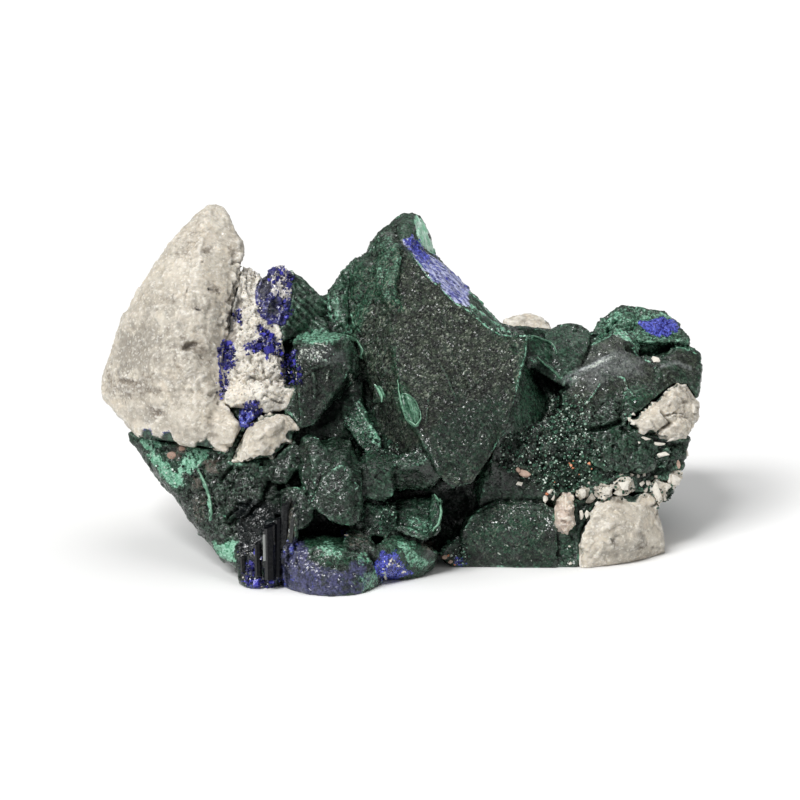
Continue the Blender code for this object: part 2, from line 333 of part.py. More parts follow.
# ---------------------------------------------------------------- pale matrix and azurite
# Each entry lists the hulls of one body. A body later in the list is fitted round the earlier ones.
OTHERS = {
    "matrix_block_left": [[place(c) for c in (
        (213, 203, -5), (207, 204.5, -4.6), (222, 206, -5.2), (228, 213, -4.8), (234, 225, -4),
        (242, 240, -3.2), (244, 250, -2.6), (236, 281, -1.4), (232.5, 302, -0.6),
        (226.5, 335, 1.0), (221, 360, 2.2), (112, 344, -4.4), (121, 322, -3.6),
        (131, 299, -3.2), (149, 280, -2.8), (161, 264, -2.8), (170, 241, -3.2), (186, 225, -3.8),
        (197, 211, -4.2),
        (206, 232, -1.6), (200, 256, 1.0), (176, 262, -0.4), (185, 292, 3.2), (150, 312, 1.4),
        (210, 304, 2.8), (178, 338, 4.8), (208, 346, 4.2),
        (212, 214, -12), (232, 240, -14), (224, 300, -18), (130, 320, -17), (165, 262, -16),
        (190, 330, -21), (212, 352, -18))],
        [place(c) for c in (
            (221, 358, 2.2), (220.5, 392, 3.4), (226, 430, 4.6), (228, 452, 4.6), (211, 449, 4.8),
            (190, 448, 4.0), (170, 438, 3), (151, 438, 2), (140, 439, 0.8), (128, 429, -1),
            (113, 411, -3), (102, 397, -4.8), (101.5, 384, -5.4), (107, 356, -4.6),
            (114, 338, -4.2), (150, 318, 1.2), (178, 326, 4.2), (178, 338, 4.8), (200, 378, 5.6),
            (146, 362, 2.4), (124, 372, -0.6), (160, 408, 3.8), (200, 424, 6.0), (132, 404, 0.8),
            (206, 380, -19), (205, 432, -16), (160, 428, -15), (124, 408, -14), (114, 380, -15),
            (130, 330, -17), (190, 334, -20.6))],
        [place(c) for c in (
            (214, 398, 4.0), (221, 403, 4.2), (229, 408, 4.6), (239, 421, 5.2), (240.5, 429, 5.3),
            (231, 446, 5.4), (212, 446, 5.0), (212, 420, 5.6), (228, 431, 5.9), (220, 406, -4),
            (235, 426, -3), (228, 442, -3))]],
    "matrix_lobe_left": [block(((250, 424, 5.2), (260, 417, 5.4), (277, 411, 5.4), (290, 417, 5.0),
        (298, 429, 4.4), (291, 441, 5.6), (280, 447, 6.2), (272, 458, 6.6), (258, 456, 7.0),
        (241, 462, 6.2), (232, 461, 5.2), (238, 446, 5.2), (247, 430, 5.4), (268, 428, 7.4),
        (257, 442, 7.8)), 7, 0.85)],
    "azurite_crystal": [block(((270, 270, -2.4), (281, 268, -2.9), (289, 273, -3.0),
        (291, 290, -1.4), (284, 324, -0.2), (276, 323, 0.2), (263, 318, 0.0), (258, 309, -0.3),
        (262, 299, -0.6), (257, 291, -1.0), (262, 280, -1.8), (273, 296, 0.4),
        (268, 306, 0.9)), 6, 0.85)],
    "matrix_granular_left": [
        block(((239, 273, -2.0), (249, 271, -2.6), (258, 275, -2.6), (264, 300, -1.4),
            (270, 322, -0.6), (280, 336, 0.2), (282, 384, 2.6), (236, 386, 2.8), (222, 385, 1.8),
            (221, 352, 0.6), (229, 325, -0.6), (237, 300, -1.4), (254, 330, 1.0),
            (258, 364, 2.8)), 9, 0.9),
        block(((220, 390, 3.2), (240, 383, 3.8), (262, 382, 4.0), (280, 384, 3.8),
            (292, 388, 3.4), (299.5, 395, 2.8), (291, 403, 3.0), (284, 408, 3.2),
            (270, 412, 3.8), (244, 405, 4.4), (222, 404, 4.2), (256, 393, 5.0)), 8, 0.9)],
    "matrix_wedge_right": [block(((626, 424, -1.2), (640, 417, -2.0), (648, 408, -2.6),
        (660, 400, -3.6), (670, 389, -4.8), (677, 384, -5.4), (686, 385, -6.4), (690, 397, -7.2),
        (699, 404, -8.4), (698, 418, -7.8), (690, 430, -6.2), (686, 438, -5.0), (672, 438, -3.4),
        (655, 434, -2.0), (640, 431, -1.4), (665, 410, -2.6), (650, 422, -1.4),
        (680, 418, -3.8)), 8, 0.8)],
    "matrix_block_right": [[place(c) for c in (
        (580, 536, 0.2), (585, 525, 0.2), (592, 511, -0.2), (600, 504, -0.8), (607, 499, -1.2),
        (616, 497, -1.6), (640, 493, -3.0), (652, 495, -4.0), (655, 503, -3.8), (658.5, 512, -3.6),
        (658.5, 534, -4.2), (665, 548, -5.8), (610, 528, 1.4), (640, 522, -0.6), (602, 548, 1.0),
        (640, 548, -1.6), (600, 505, -10), (650, 500, -14), (655, 520, -16), (590, 540, -10))]
        + [foot(580, 568), foot(588, 567.5), foot(600, 566), foot(622, 563), foot(645, 558),
           foot(656, 554), foot(665, 551), mm(26, 13, -0.6), mm(33, 14, -0.6)]],
    "matrix_chunk_pink": [block(((557, 500, 0.4), (563, 493, -0.2), (571, 494, -0.2),
        (573.5, 510, 0.8), (571, 528, 1.2), (563, 533.5, 1.4), (557, 525, 1.2), (555.5, 510, 0.9),
        (565, 510, 1.8)), 5, 0.85)],
    "matrix_chip_one": [block(((576.5, 491, -0.1), (582, 486.5, -0.4),
        (588, 489, -0.6), (587, 496, -0.2), (581, 499, 0.1), (576, 496, 0.2),
        (582, 493, 0.5)), 4, 0.85)],
    "matrix_chip_two": [block(((597, 489, -1.0), (604, 485, -1.4), (612, 487, -1.8),
        (611, 494, -1.4), (603, 498, -0.8), (597, 495, -0.7), (604, 491, -0.4)), 4, 0.85)],
    "matrix_chip_three": [block(((614, 483, -1.6), (621, 478, -1.9), (630, 480, -2.4),
        (633, 488, -2.4), (625, 494, -1.8), (616, 492, -1.3), (623, 486, -1.1)), 4, 0.85)],
    "matrix_chip_four": [block(((651, 484, -3.3), (657, 480, -3.7), (666, 485, -4.6),
        (665, 496, -4.5), (659, 506, -4.0), (652, 497, -3.4), (658, 490, -3.0)), 4, 0.85)],
    "matrix_chip_five": [block(((669, 476, -5.0), (675, 470.5, -5.5), (683, 473, -6.4),
        (681, 483, -6.1), (674, 489, -5.0), (669.5, 482, -4.7), (676, 479, -4.8)), 4, 0.85)],
    "matrix_lump_back": [[place(c) for c in (
        (503, 319, -12), (516, 315, -13), (530, 312.5, -13.4), (541, 317, -13.2), (549, 326, -12.4),
        (548, 334, -11.6), (525, 336, -11.2), (505, 332, -11.8), (504, 336, -22), (520, 330, -25),
        (548, 332, -24), (556, 360, -29), (500, 362, -30), (506, 392, -31), (548, 388, -30),
        (526, 350, -30), (516, 330, -18))]],
}

COLOURS = {  # base colour, roughness
    "malachite": ((0.035, 0.075, 0.052), 0.5),
    "azurite": ((0.02, 0.02, 0.2), 0.4),
    "matrix": ((0.68, 0.64, 0.57), 0.75),
    "pink": ((0.60, 0.52, 0.46), 0.7),
}


def mesh_object(name, points, shown=True):
    """One object holding the convex hull of the points, given in millimetres."""
    shape = bmesh.new()
    for point in points:
        shape.verts.new(point * MM)
    result = bmesh.ops.convex_hull(shape, input=shape.verts, use_existing_faces=False)
    spare = {g for g in result["geom_interior"] + result["geom_unused"] if isinstance(g, bmesh.types.BMVert)}
    bmesh.ops.delete(shape, geom=list(spare), context="VERTS")
    bmesh.ops.dissolve_limit(shape, angle_limit=math.radians(0.6), verts=shape.verts, edges=shape.edges)
    bmesh.ops.triangulate(shape, faces=shape.faces)
    bmesh.ops.recalc_face_normals(shape, faces=shape.faces)
    mesh = bpy.data.meshes.new(name)
    shape.to_mesh(mesh)
    shape.free()
    made = bpy.data.objects.new(name, mesh)
    bpy.context.scene.collection.objects.link(made)
    if not shown:
        made.hide_render = True
        made.display_type = "WIRE"
    return made


def volume(mesh):
    """The volume the mesh closes off, or none if an edge is open."""
    shape = bmesh.new()
    shape.from_mesh(mesh)
    found = shape.calc_volume(signed=True) if all(e.is_manifold for e in shape.edges) else None
    shape.free()
    return found


def combine(target, other, operation):
    """Applies one Boolean to the target and removes the other object.

    The exact solver goes first. Where it leaves an open or a shrunken mesh, the manifold one is used.
    """
    first, second = volume(target.data), volume(other.data)
    for solver in ("EXACT", "MANIFOLD"):
        step = target.modifiers.new(operation, "BOOLEAN")
        step.operation = operation
        step.solver = solver
        step.object = other
        graph = bpy.context.evaluated_depsgraph_get()
        mesh = bpy.data.meshes.new_from_object(target.evaluated_get(graph), depsgraph=graph)
        target.modifiers.clear()
        made = volume(mesh)
        if made is not None and first is not None:
            least = max(first, second) if operation == "UNION" else first - second
            most = first + second if operation == "UNION" else first
            if least * 0.9999 - 1e-13 <= made <= most * 1.0001 + 1e-13:
                break
    old = target.data
    target.data = mesh
    bpy.data.meshes.remove(old)
    bpy.data.objects.remove(other)


def swollen(points, by):
    """The points pushed out each way, whose hull clears the first one by at least that much."""
    return [
        p + Vector((x, y, z)) * by
        for p in points
        for x in (-1, 1)
        for y in (-1, 1)
        for z in (-1, 1)
    ]


def tidy(target):
    """Keeps the largest body, without the slivers that Booleans leave."""
    shape = bmesh.new()
    shape.from_mesh(target.data)
    bmesh.ops.remove_doubles(shape, verts=shape.verts, dist=2e-6)
    bmesh.ops.dissolve_degenerate(shape, dist=2e-6, edges=shape.edges)
    bmesh.ops.triangulate(shape, faces=shape.faces)
    shape.verts.ensure_lookup_table()
    seen, bodies = set(), []
    for start in shape.verts:
        if start.index in seen:
            continue
        body, stack = [], [start]
        seen.add(start.index)
        while stack:
            vert = stack.pop()
            body.append(vert)
            for edge in vert.link_edges:
                other = edge.other_vert(vert)
                if other.index not in seen:
                    seen.add(other.index)
                    stack.append(other)
        bodies.append(body)
    bodies.sort(key=len)
    for body in bodies[:-1]:
        bmesh.ops.delete(shape, geom=body, context="VERTS")
    shape.to_mesh(target.data)
    shape.free()


def finish(target, kind):
    colour, roughness = COLOURS[kind]
    material = bpy.data.materials.new(target.name)
    material.use_nodes = True
    shader = material.node_tree.nodes["Principled BSDF"]
    shader.inputs["Base Color"].default_value = (*colour, 1)
    shader.inputs["Roughness"].default_value = roughness
    shader.inputs["Metallic"].default_value = 0
    material.diffuse_color = (*colour, 1)
    target.data.materials.clear()
    target.data.materials.append(material)


def ground():
    return mesh_object(
        "ground_cut",
        [Vector((x, y, z)) for x in (-90, 90) for y in (-90, 90) for z in (-30, 0)],
        shown=False,
    )


def main():
    for old in list(bpy.data.objects):
        bpy.data.objects.remove(old)

    earlier = []  # the hulls already placed, which later bodies are fitted round
    for name, hulls in OTHERS.items():
        body = mesh_object(name, hulls[0])
        for points in hulls[1:]:
            combine(body, mesh_object(name + "_more", points, shown=False), "UNION")
        low = min(p.z for points in hulls for p in points)
        if low < 0:
            combine(body, ground(), "DIFFERENCE")
        for points in earlier:
            cutter = mesh_object("clear", swollen(points, MINERAL_GAP_MM), shown=False)
            combine(body, cutter, "DIFFERENCE")
        tidy(body)
        finish(body, "azurite" if "azurite" in name else "pink" if "pink" in name else "matrix")
        earlier += hulls

    crystals = list(MALACHITE.items())
    cluster = mesh_object("malachite_cluster", crystals[0][1])
    for name, points in crystals[1:]:
        combine(cluster, mesh_object(name, points, shown=False), "UNION")
    combine(cluster, ground(), "DIFFERENCE")
    for points in earlier:
        cutter = mesh_object("clear", swollen(points, MINERAL_GAP_MM), shown=False)
        combine(cluster, cutter, "DIFFERENCE")
    tidy(cluster)
    finish(cluster, "malachite")


main()
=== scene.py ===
"""The looks of the malachite pseudomorph: worn crystal faces, druse, blue crusts and sugary matrix.

Places on the specimen's display side are written as on part.py's drawing sheet: units across and
down, 7.5 to the millimetre, seen from 450 mm away and leaning down by 15 degrees.
"""

import math

import bmesh
import bpy
import numpy as np
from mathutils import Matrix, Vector
from mathutils.bvhtree import BVHTree
from mathutils.kdtree import KDTree


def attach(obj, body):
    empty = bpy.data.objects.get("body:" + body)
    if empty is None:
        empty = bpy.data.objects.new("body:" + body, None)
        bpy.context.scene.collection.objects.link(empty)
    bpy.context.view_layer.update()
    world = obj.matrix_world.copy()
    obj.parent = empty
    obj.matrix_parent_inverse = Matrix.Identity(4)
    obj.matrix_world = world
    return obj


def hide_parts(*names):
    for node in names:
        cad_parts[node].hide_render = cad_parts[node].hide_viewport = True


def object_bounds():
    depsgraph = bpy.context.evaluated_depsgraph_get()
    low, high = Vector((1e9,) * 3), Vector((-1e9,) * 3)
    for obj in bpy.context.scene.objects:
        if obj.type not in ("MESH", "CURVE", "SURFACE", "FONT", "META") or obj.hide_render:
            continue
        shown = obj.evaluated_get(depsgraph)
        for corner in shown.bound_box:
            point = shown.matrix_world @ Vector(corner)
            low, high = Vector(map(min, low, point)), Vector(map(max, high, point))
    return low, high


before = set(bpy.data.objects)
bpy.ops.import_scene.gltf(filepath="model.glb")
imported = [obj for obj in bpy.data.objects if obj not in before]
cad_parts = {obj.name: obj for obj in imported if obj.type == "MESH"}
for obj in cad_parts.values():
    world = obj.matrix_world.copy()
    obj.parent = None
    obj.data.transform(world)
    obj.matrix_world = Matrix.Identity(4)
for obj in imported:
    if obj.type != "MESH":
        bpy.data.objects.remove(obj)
CAD_BOX = [list(map(float, corner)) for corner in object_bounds()]

UNITS, MIDDLE, DISTANCE, LEAN, HEIGHT = 7.5, 400.0, 450.0, math.radians(15), 21.76
CENTRE = np.array([0.45, 6.65, 0.0])
SIN, COS = math.sin(LEAN), math.cos(LEAN)
TOWARDS = np.array([0.0, -COS, SIN])  # from the specimen to the display side's viewpoint
EYE = np.array([0.0, 0.0, HEIGHT]) - CENTRE + DISTANCE * TOWARDS


# ------------------------------------------------------------------ places on the sheet
def sheet(p):
    """Across, down and depth of points in mm in the model's frame."""
    x, y, z = p[:, 0] + CENTRE[0], p[:, 1] + CENTRE[1], p[:, 2] - HEIGHT
    depth = -y * COS + z * SIN
    up = y * SIN + z * COS
    near = (DISTANCE - depth) / DISTANCE
    return MIDDLE + UNITS * x / near, MIDDLE - UNITS * up / near, depth


def at(across, down, depth):
    near = (DISTANCE - depth) / DISTANCE
    x = (across - MIDDLE) / UNITS * near
    up = (MIDDLE - down) / UNITS * near
    return np.array([x, up * SIN - depth * COS, up * COS + depth * SIN + HEIGHT]) - CENTRE


def smooth(x, low, high):
    t = np.clip((x - low) / (high - low), 0.0, 1.0)
    return t * t * (3 - 2 * t)


def to_line(u, v, points):
    """Distance on the sheet to a line through the points, and which side of it: 1 is to its left going along it."""
    best = np.full(len(u), 1e9)
    side = np.ones(len(u))
    for (ax, ay), (bx, by) in zip(points[:-1], points[1:]):
        dx, dy = bx - ax, by - ay
        t = np.clip(((u - ax) * dx + (v - ay) * dy) / (dx * dx + dy * dy + 1e-9), 0, 1)
        away = np.hypot(u - ax - t * dx, v - ay - t * dy)
        closer = away < best
        best = np.where(closer, away, best)
        side = np.where(closer, np.where(dx * (v - ay) - dy * (u - ax) < 0, 1.0, -1.0), side)
    return best, side


def to_area(u, v, points):
    """Distance on the sheet to an outline, negative inside it."""
    inside = np.zeros(len(u), bool)
    loop = list(points) + [points[0]]
    for (ax, ay), (bx, by) in zip(loop[:-1], loop[1:]):
        if ay == by:
            continue
        crosses = (ay > v) != (by > v)
        inside ^= crosses & (u < (bx - ax) * (v - ay) / (by - ay) + ax)
    away = to_line(u, v, loop)[0]
    return np.where(inside, -away, away)


def near_box(u, v, points, margin):
    xs, ys = [p[0] for p in points], [p[1] for p in points]
    return (u > min(xs) - margin) & (u < max(xs) + margin) & (v > min(ys) - margin) & (v < max(ys) + margin)


# ------------------------------------------------------------------ noise
def lattice(ix, iy, iz, seed):
    h = (
        ix.astype(np.uint32) * np.uint32(374761393)
        + iy.astype(np.uint32) * np.uint32(668265263)
        + iz.astype(np.uint32) * np.uint32(2147483647)
        + np.uint32((seed * 144269504 + 1013904223) & 0xFFFFFFFF)
    )
    h ^= h >> np.uint32(13)
    h *= np.uint32(1274126177)
    h ^= h >> np.uint32(16)
    h *= np.uint32(2246822519)
    h ^= h >> np.uint32(15)
    return h


def unit(h, shift):
    return ((h >> np.uint32(shift)) & np.uint32(1023)).astype(np.float64) / 1023.0


def noise(p, size, seed=0):
    """Gradient noise, about -1 to 1, with features of the given size in mm."""
    q = p / size
    base = np.floor(q)
    f = q - base
    i = base.astype(np.int64)
    w = f * f * f * (f * (f * 6 - 15) + 10)
    total = np.zeros(len(p))
    for dx in (0, 1):
        wx = w[:, 0] if dx else 1 - w[:, 0]
        for dy in (0, 1):
            wy = w[:, 1] if dy else 1 - w[:, 1]
            for dz in (0, 1):
                wz = w[:, 2] if dz else 1 - w[:, 2]
                h = lattice(i[:, 0] + dx, i[:, 1] + dy, i[:, 2] + dz, seed)
                gx, gy, gz = unit(h, 0) * 2 - 1, unit(h, 10) * 2 - 1, unit(h, 20) * 2 - 1
                total += wx * wy * wz * (gx * (f[:, 0] - dx) + gy * (f[:, 1] - dy) + gz * (f[:, 2] - dz))
    return total * 1.5


def layers(p, size, count, seed=0, fade=0.5):
    total, share = np.zeros(len(p)), 1.0
    for k in range(count):
        total += share * noise(p, size / 2**k, seed + 17 * k)
        share *= fade
    return total


def creases(p, size, count, seed=0, fade=0.5):
    """Noise folded at zero: sharp crests, 0 to about 1."""
    total, share, whole = np.zeros(len(p)), 1.0, 0.0
    for k in range(count):
        total += share * (1 - np.abs(noise(p, size / 2**k, seed + 13 * k)) * 1.6)
        whole += share
        share *= fade
    return total / whole


def cells(p, size, seed=0):
    """For scattered points: nearest and second nearest distance in cell sizes, a random value and a tilted plane for each cell."""
    q = p / size
    i = np.floor(q).astype(np.int64)
    first = np.full(len(p), 9.0)
    second = np.full(len(p), 9.0)
    value = np.zeros(len(p))
    plane = np.zeros(len(p))
    for dx in (-1, 0, 1):
        for dy in (-1, 0, 1):
            for dz in (-1, 0, 1):
                jx, jy, jz = i[:, 0] + dx, i[:, 1] + dy, i[:, 2] + dz
                h = lattice(jx, jy, jz, seed)
                ex, ey, ez = q[:, 0] - jx - unit(h, 0), q[:, 1] - jy - unit(h, 10), q[:, 2] - jz - unit(h, 20)
                away = np.sqrt(ex * ex + ey * ey + ez * ez)
                closer = away < first
                second = np.where(closer, first, np.minimum(second, away))
                g = lattice(jx, jy, jz, seed + 7)
                tilt = (unit(g, 0) * 2 - 1) * ex + (unit(g, 10) * 2 - 1) * ey + (unit(g, 20) * 2 - 1) * ez
                plane = np.where(closer, tilt, plane)
                value = np.where(closer, unit(g, 5), value)
                first = np.where(closer, away, first)
    return first, second, value, plane


# ------------------------------------------------------------------ surfaces
def arrays(mesh):
    v = np.empty(len(mesh.vertices) * 3)
    mesh.vertices.foreach_get("co", v)
    mesh.calc_loop_triangles()
    t = np.empty(len(mesh.loop_triangles) * 3, np.int32)
    mesh.loop_triangles.foreach_get("vertices", t)
    return v.reshape(-1, 3) * 1000, t.reshape(-1, 3)


def welded(mesh):
    v, t = arrays(mesh)
    _, first, index = np.unique(np.round(v, 3), axis=0, return_index=True, return_inverse=True)
    v, t = v[first], index.reshape(-1)[t]
    return v, t[(t[:, 0] != t[:, 1]) & (t[:, 1] != t[:, 2]) & (t[:, 0] != t[:, 2])]


def whole_specimen():
    points, faces, count = [], [], 0
    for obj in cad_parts.values():
        v, t = welded(obj.data)
        points.append(v)
        faces.append(t + count)
        count += len(v)
    return BVHTree.FromPolygons(np.concatenate(points).tolist(), np.concatenate(faces).tolist())


SPECIMEN = whole_specimen()


def without(node):
    """The CAD shapes of every node but this one."""
    points, faces, count = [], [], 0
    for name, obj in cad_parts.items():
        if name != node:
            v, t = welded(obj.data)
            points.append(v)
            faces.append(t + count)
            count += len(v)
    return BVHTree.FromPolygons(np.concatenate(points).tolist(), np.concatenate(faces).tolist())


def refine(v, q, flag):
    """Splits the flagged four-sided faces in four, and fans their neighbours so that no gap opens."""
    ends = np.stack([q, np.roll(q, -1, axis=1)], axis=2).astype(np.int64)
    key = ends.min(axis=2) * len(v) + ends.max(axis=2)
    cut = np.unique(key[flag])
    split = np.isin(key, cut)
    half = len(v) + np.searchsorted(cut, key)
    middle_points = (v[cut // len(v)] + v[cut % len(v)]) / 2
    fan = split.any(axis=1) & ~flag
    hub = np.zeros(len(q), np.int64)
    hubs = np.flatnonzero(flag | fan)
    hub[hubs] = len(v) + len(cut) + np.arange(len(hubs))
    points = np.concatenate([v, middle_points, v[q[hubs]].mean(axis=1)])
    quads, triangles = [q[~flag & ~fan]], []
    for k in range(4):
        quads.append(np.stack([q[flag, k], half[flag, k], hub[flag], half[flag, k - 1]], axis=1))
        both = fan & split[:, k]
        plain = fan & ~split[:, k]
        after = (k + 1) % 4
        triangles.append(np.stack([q[both, k], half[both, k], hub[both]], axis=1))
        triangles.append(np.stack([half[both, k], q[both, after], hub[both]], axis=1))
        triangles.append(np.stack([q[plain, k], q[plain, after], hub[plain]], axis=1))
    return points, np.concatenate(quads), np.concatenate(triangles)


class Surface:
    """A CAD node's shape as an even mesh, in mm, with what its corners need to know about the node."""

    def __init__(self, node, voxel, fine=False, snap=0.95):
        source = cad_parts[node]
        copy = bpy.data.objects.new("even", source.data.copy())
        bpy.context.scene.collection.objects.link(copy)
        weld = copy.modifiers.new("weld", "WELD")
        weld.merge_threshold = 2e-6
        step = copy.modifiers.new("remesh", "REMESH")
        step.mode = "VOXEL"
        step.voxel_size = voxel * 0.001
        step.adaptivity = 0.0
        graph = bpy.context.evaluated_depsgraph_get()
        mesh = bpy.data.meshes.new_from_object(copy.evaluated_get(graph), depsgraph=graph)
        bpy.data.objects.remove(copy)
        self.v = np.empty(len(mesh.vertices) * 3)
        mesh.vertices.foreach_get("co", self.v)
        self.v = self.v.reshape(-1, 3) * 1000
        self.q = np.empty(len(mesh.polygons) * 4, np.int32)
        mesh.polygons.foreach_get("vertices", self.q)
        self.q = self.q.reshape(-1, 4).astype(np.int64)
        self.t = np.zeros((0, 3), np.int64)
        bpy.data.meshes.remove(mesh)

        cv, ct = welded(source.data)
        tree = BVHTree.FromPolygons(cv.tolist(), ct.tolist())
        self._snap(tree, voxel * snap)
        if fine:
            self.n = self.normals()
            seen = self._unblocked()
            self.v, self.q, self.t = refine(self.v, self.q, seen[self.q].max(axis=1) > 0.5)
            self._snap(tree, voxel * snap)
        self.n = self.normals()
        self.u, self.w, self.d = sheet(self.v)
        self.facing = self.n @ TOWARDS
        ends = [np.stack([self.q, np.roll(self.q, -1, axis=1)], axis=2).reshape(-1, 2)]
        ends.append(np.stack([self.t, np.roll(self.t, -1, axis=1)], axis=2).reshape(-1, 2))
        ends = np.sort(np.concatenate(ends), axis=1)
        ends = np.unique(ends[:, 0] * len(self.v) + ends[:, 1])
        self.ends = np.stack([ends // len(self.v), ends % len(self.v)])
        self.links = np.bincount(self.ends.ravel(), minlength=len(self.v)).astype(float)
        self.seen = self.blur(self._unblocked(), 10)
        self._edges(cv, ct)
        others = without(node)
        away = [others.find_nearest(p, 1.2)[3] for p in self.v.tolist()]
        away = np.array([9.0 if a is None else a for a in away])
        self.near = smooth(away, 0.95, 0.35)  # 1 where another mineral is grown on, across the CAD's gap

    def _snap(self, tree, reach):
        found = [tree.find_nearest(p) for p in self.v.tolist()]
        spot = np.array([f[0] for f in found])
        away = np.array([f[3] for f in found])
        self.v = np.where((away < reach)[:, None], spot, self.v)

    def _unblocked(self):
        """1 where nothing on the specimen hides the corner from the display side's viewpoint."""
        out = np.zeros(len(self.v))
        towards = EYE - self.v
        towards /= np.linalg.norm(towards, axis=1, keepdims=True)
        start = self.v + self.n * 0.3 + towards * 0.1
        for k in np.flatnonzero((self.n * towards).sum(axis=1) > -0.1).tolist():
            if SPECIMEN.ray_cast(start[k].tolist(), towards[k].tolist(), 200.0)[0] is None:
                out[k] = 1.0
        return out

    def normals(self):
        out = np.zeros_like(self.v)
        for faces, (i, j, k, m) in ((self.q, (0, 2, 1, 3)), (self.t, (0, 1, 0, 2))):
            if not len(faces):
                continue
            n = np.cross(self.v[faces[:, j]] - self.v[faces[:, i]], self.v[faces[:, m]] - self.v[faces[:, k]])
            for corner in range(faces.shape[1]):
                for axis in range(3):
                    out[:, axis] += np.bincount(faces[:, corner], n[:, axis], len(self.v))
        return out / np.maximum(np.linalg.norm(out, axis=1, keepdims=True), 1e-12)

    def around(self, values):
        """The mean of each corner's neighbours."""
        a, b = self.ends
        return (np.bincount(a, values[b], len(self.v)) + np.bincount(b, values[a], len(self.v))) / self.links

    def blur(self, values, times):
        for _ in range(times):
            values = 0.5 * values + 0.5 * self.around(values)
        return values

    def hollow(self, times=0):
        """How far each corner lies below its neighbours, in mm: above 0 in hollows and below 0 on crests."""
        n = self.normals()
        p = np.stack([self.blur(self.v[:, k], times) for k in range(3)], axis=1) if times else self.v
        return ((np.stack([self.around(p[:, k]) for k in range(3)], axis=1) - p) * n).sum(axis=1)

    def _edges(self, cv, ct):
        """Distances to the node's sharp outer edges and to its inner corners."""
        n = np.cross(cv[ct[:, 1]] - cv[ct[:, 0]], cv[ct[:, 2]] - cv[ct[:, 0]])
        n /= np.maximum(np.linalg.norm(n, axis=1, keepdims=True), 1e-12)
        middle = cv[ct].mean(axis=1)
        owner = {}
        outer, inner = [], []
        for face, (a, b, c) in enumerate(ct.tolist()):
            for s, e in ((a, b), (b, c), (c, a)):
                key = (s, e) if s < e else (e, s)
                if key in owner:
                    other = owner[key]
                    if float(n[face] @ n[other]) < 0.9:
                        bulge = float(n[face] @ (middle[other] - cv[s]))
                        p, q = cv[s], cv[e]
                        steps = max(1, int(np.linalg.norm(q - p) / 0.2))
                        for k in range(steps + 1):
                            (outer if bulge < 0 else inner).append(p + (q - p) * k / steps)
                else:
                    owner[key] = face
        self.outer = self._distance(outer)
        self.inner = self._distance(inner)

    def _distance(self, points):
        if not points:
            return np.full(len(self.v), 9.0)
        tree = KDTree(len(points))
        for k, p in enumerate(points):
            tree.insert(p, k)
        tree.balance()
        return np.array([tree.find(p)[2] for p in self.v.tolist()])

    def push(self, amount, host=0.0):
        """Moves each corner along its normal by the amount in mm, keeping the flat base flat and closing the gap to its neighbours."""
        base = smooth(self.v[:, 2], 0.0, 0.6)
        amount = amount * (1 - 0.7 * self.near) + self.near * (0.2 + 0.16 * smooth(self.outer, 0.6, 0.0)) - 0.32 * host
        self.v = self.v + self.n * (amount * base)[:, None]
        self.v[:, 2] = np.maximum(self.v[:, 2], 0.0)

    def host(self, points, wander=3.5, seed=90):
        """1 outside a ragged outline on the sheet, on the display side, where the mineral around the piece covers it."""
        away = to_area(self.u, self.w, points) + wander * layers(self.v, 1.5, 4, seed, 0.6)
        return smooth(away, -0.6, 0.9)

    def calm(self, mask, times):
        """Rounds off the shape where the mask is 1."""
        share = (0.5 * mask * smooth(self.v[:, 2], 0.0, 0.6))[:, None]
        for _ in range(times):
            self.v += share * (np.stack([self.around(self.v[:, k]) for k in range(3)], axis=1) - self.v)
        self.n = self.normals()

    def pillow(self, points, edge, wander=1.5, seed=4):
        """0 at an outline on the sheet, rising to 1 so many units inside it."""
        out = np.zeros(len(self.v))
        k = self.mark(points, 4)
        if len(k):
            away = -to_area(self.u[k], self.w[k], points) + wander * noise(self.v[k], 1.1, seed)
            out[k] = np.sqrt(np.clip(away / edge, 0, 1)) * smooth(self.seen[k], 0.1, 0.5)
        return out

    def mark(self, points, margin):
        """The corners near these places on the display side."""
        return np.flatnonzero(near_box(self.u, self.w, points, margin) & (self.seen > 0.02))

    def area(self, points, soft=8.0, wander=4.0, size=1.3, seed=1):
        """1 inside an outline on the sheet and 0 outside it, on the display side only. The edge wanders by so many units."""
        out = np.zeros(len(self.v))
        k = self.mark(points, 12)
        if len(k):
            away = to_area(self.u[k], self.w[k], points) + wander * layers(self.v[k], size, 3, seed)
            out[k] = smooth(-away, -soft / 2, soft / 2) * smooth(self.seen[k], 0.1, 0.5)
        return out

    def line(self, points, width=2.0, wander=1.0, size=0.9, seed=2):
        """1 along a line on the sheet, falling to 0 at half its width."""
        out = np.zeros(len(self.v))
        k = self.mark(points, width * 2 + 4)
        if len(k):
            away = to_line(self.u[k], self.w[k], points)[0] + wander * np.abs(noise(self.v[k], size, seed))
            out[k] = (1 - smooth(away, width * 0.2, width * 0.6)) * smooth(self.seen[k], 0.1, 0.5)
        return out

    def step(self, points, reach, seed=3, wander=3.5):
        """A ledge along a line on the sheet: 1 on its left side going along it and -1 on its right, fading away from it."""
        out = np.zeros(len(self.v))
        k = self.mark(points, reach * 3)
        if len(k):
            u = self.u[k] + wander * noise(self.v[k], 0.9, seed)
            w = self.w[k] + wander * noise(self.v[k], 0.9, seed + 1)
            away, side = to_line(u, w, points)
            out[k] = side * smooth(away, 0.0, 3.0) * np.exp(-away / reach) * smooth(self.seen[k], 0.1, 0.5)
        return out

    def pieces(self, name, masks, material, node, slot, groups=1):
        """Makes the visible pieces, cut into as many groups as asked by where their faces are."""
        self.n = self.normals()
        middle_q = self.v[self.q].mean(axis=1)
        middle_t = self.v[self.t].mean(axis=1) if len(self.t) else np.zeros((0, 3))

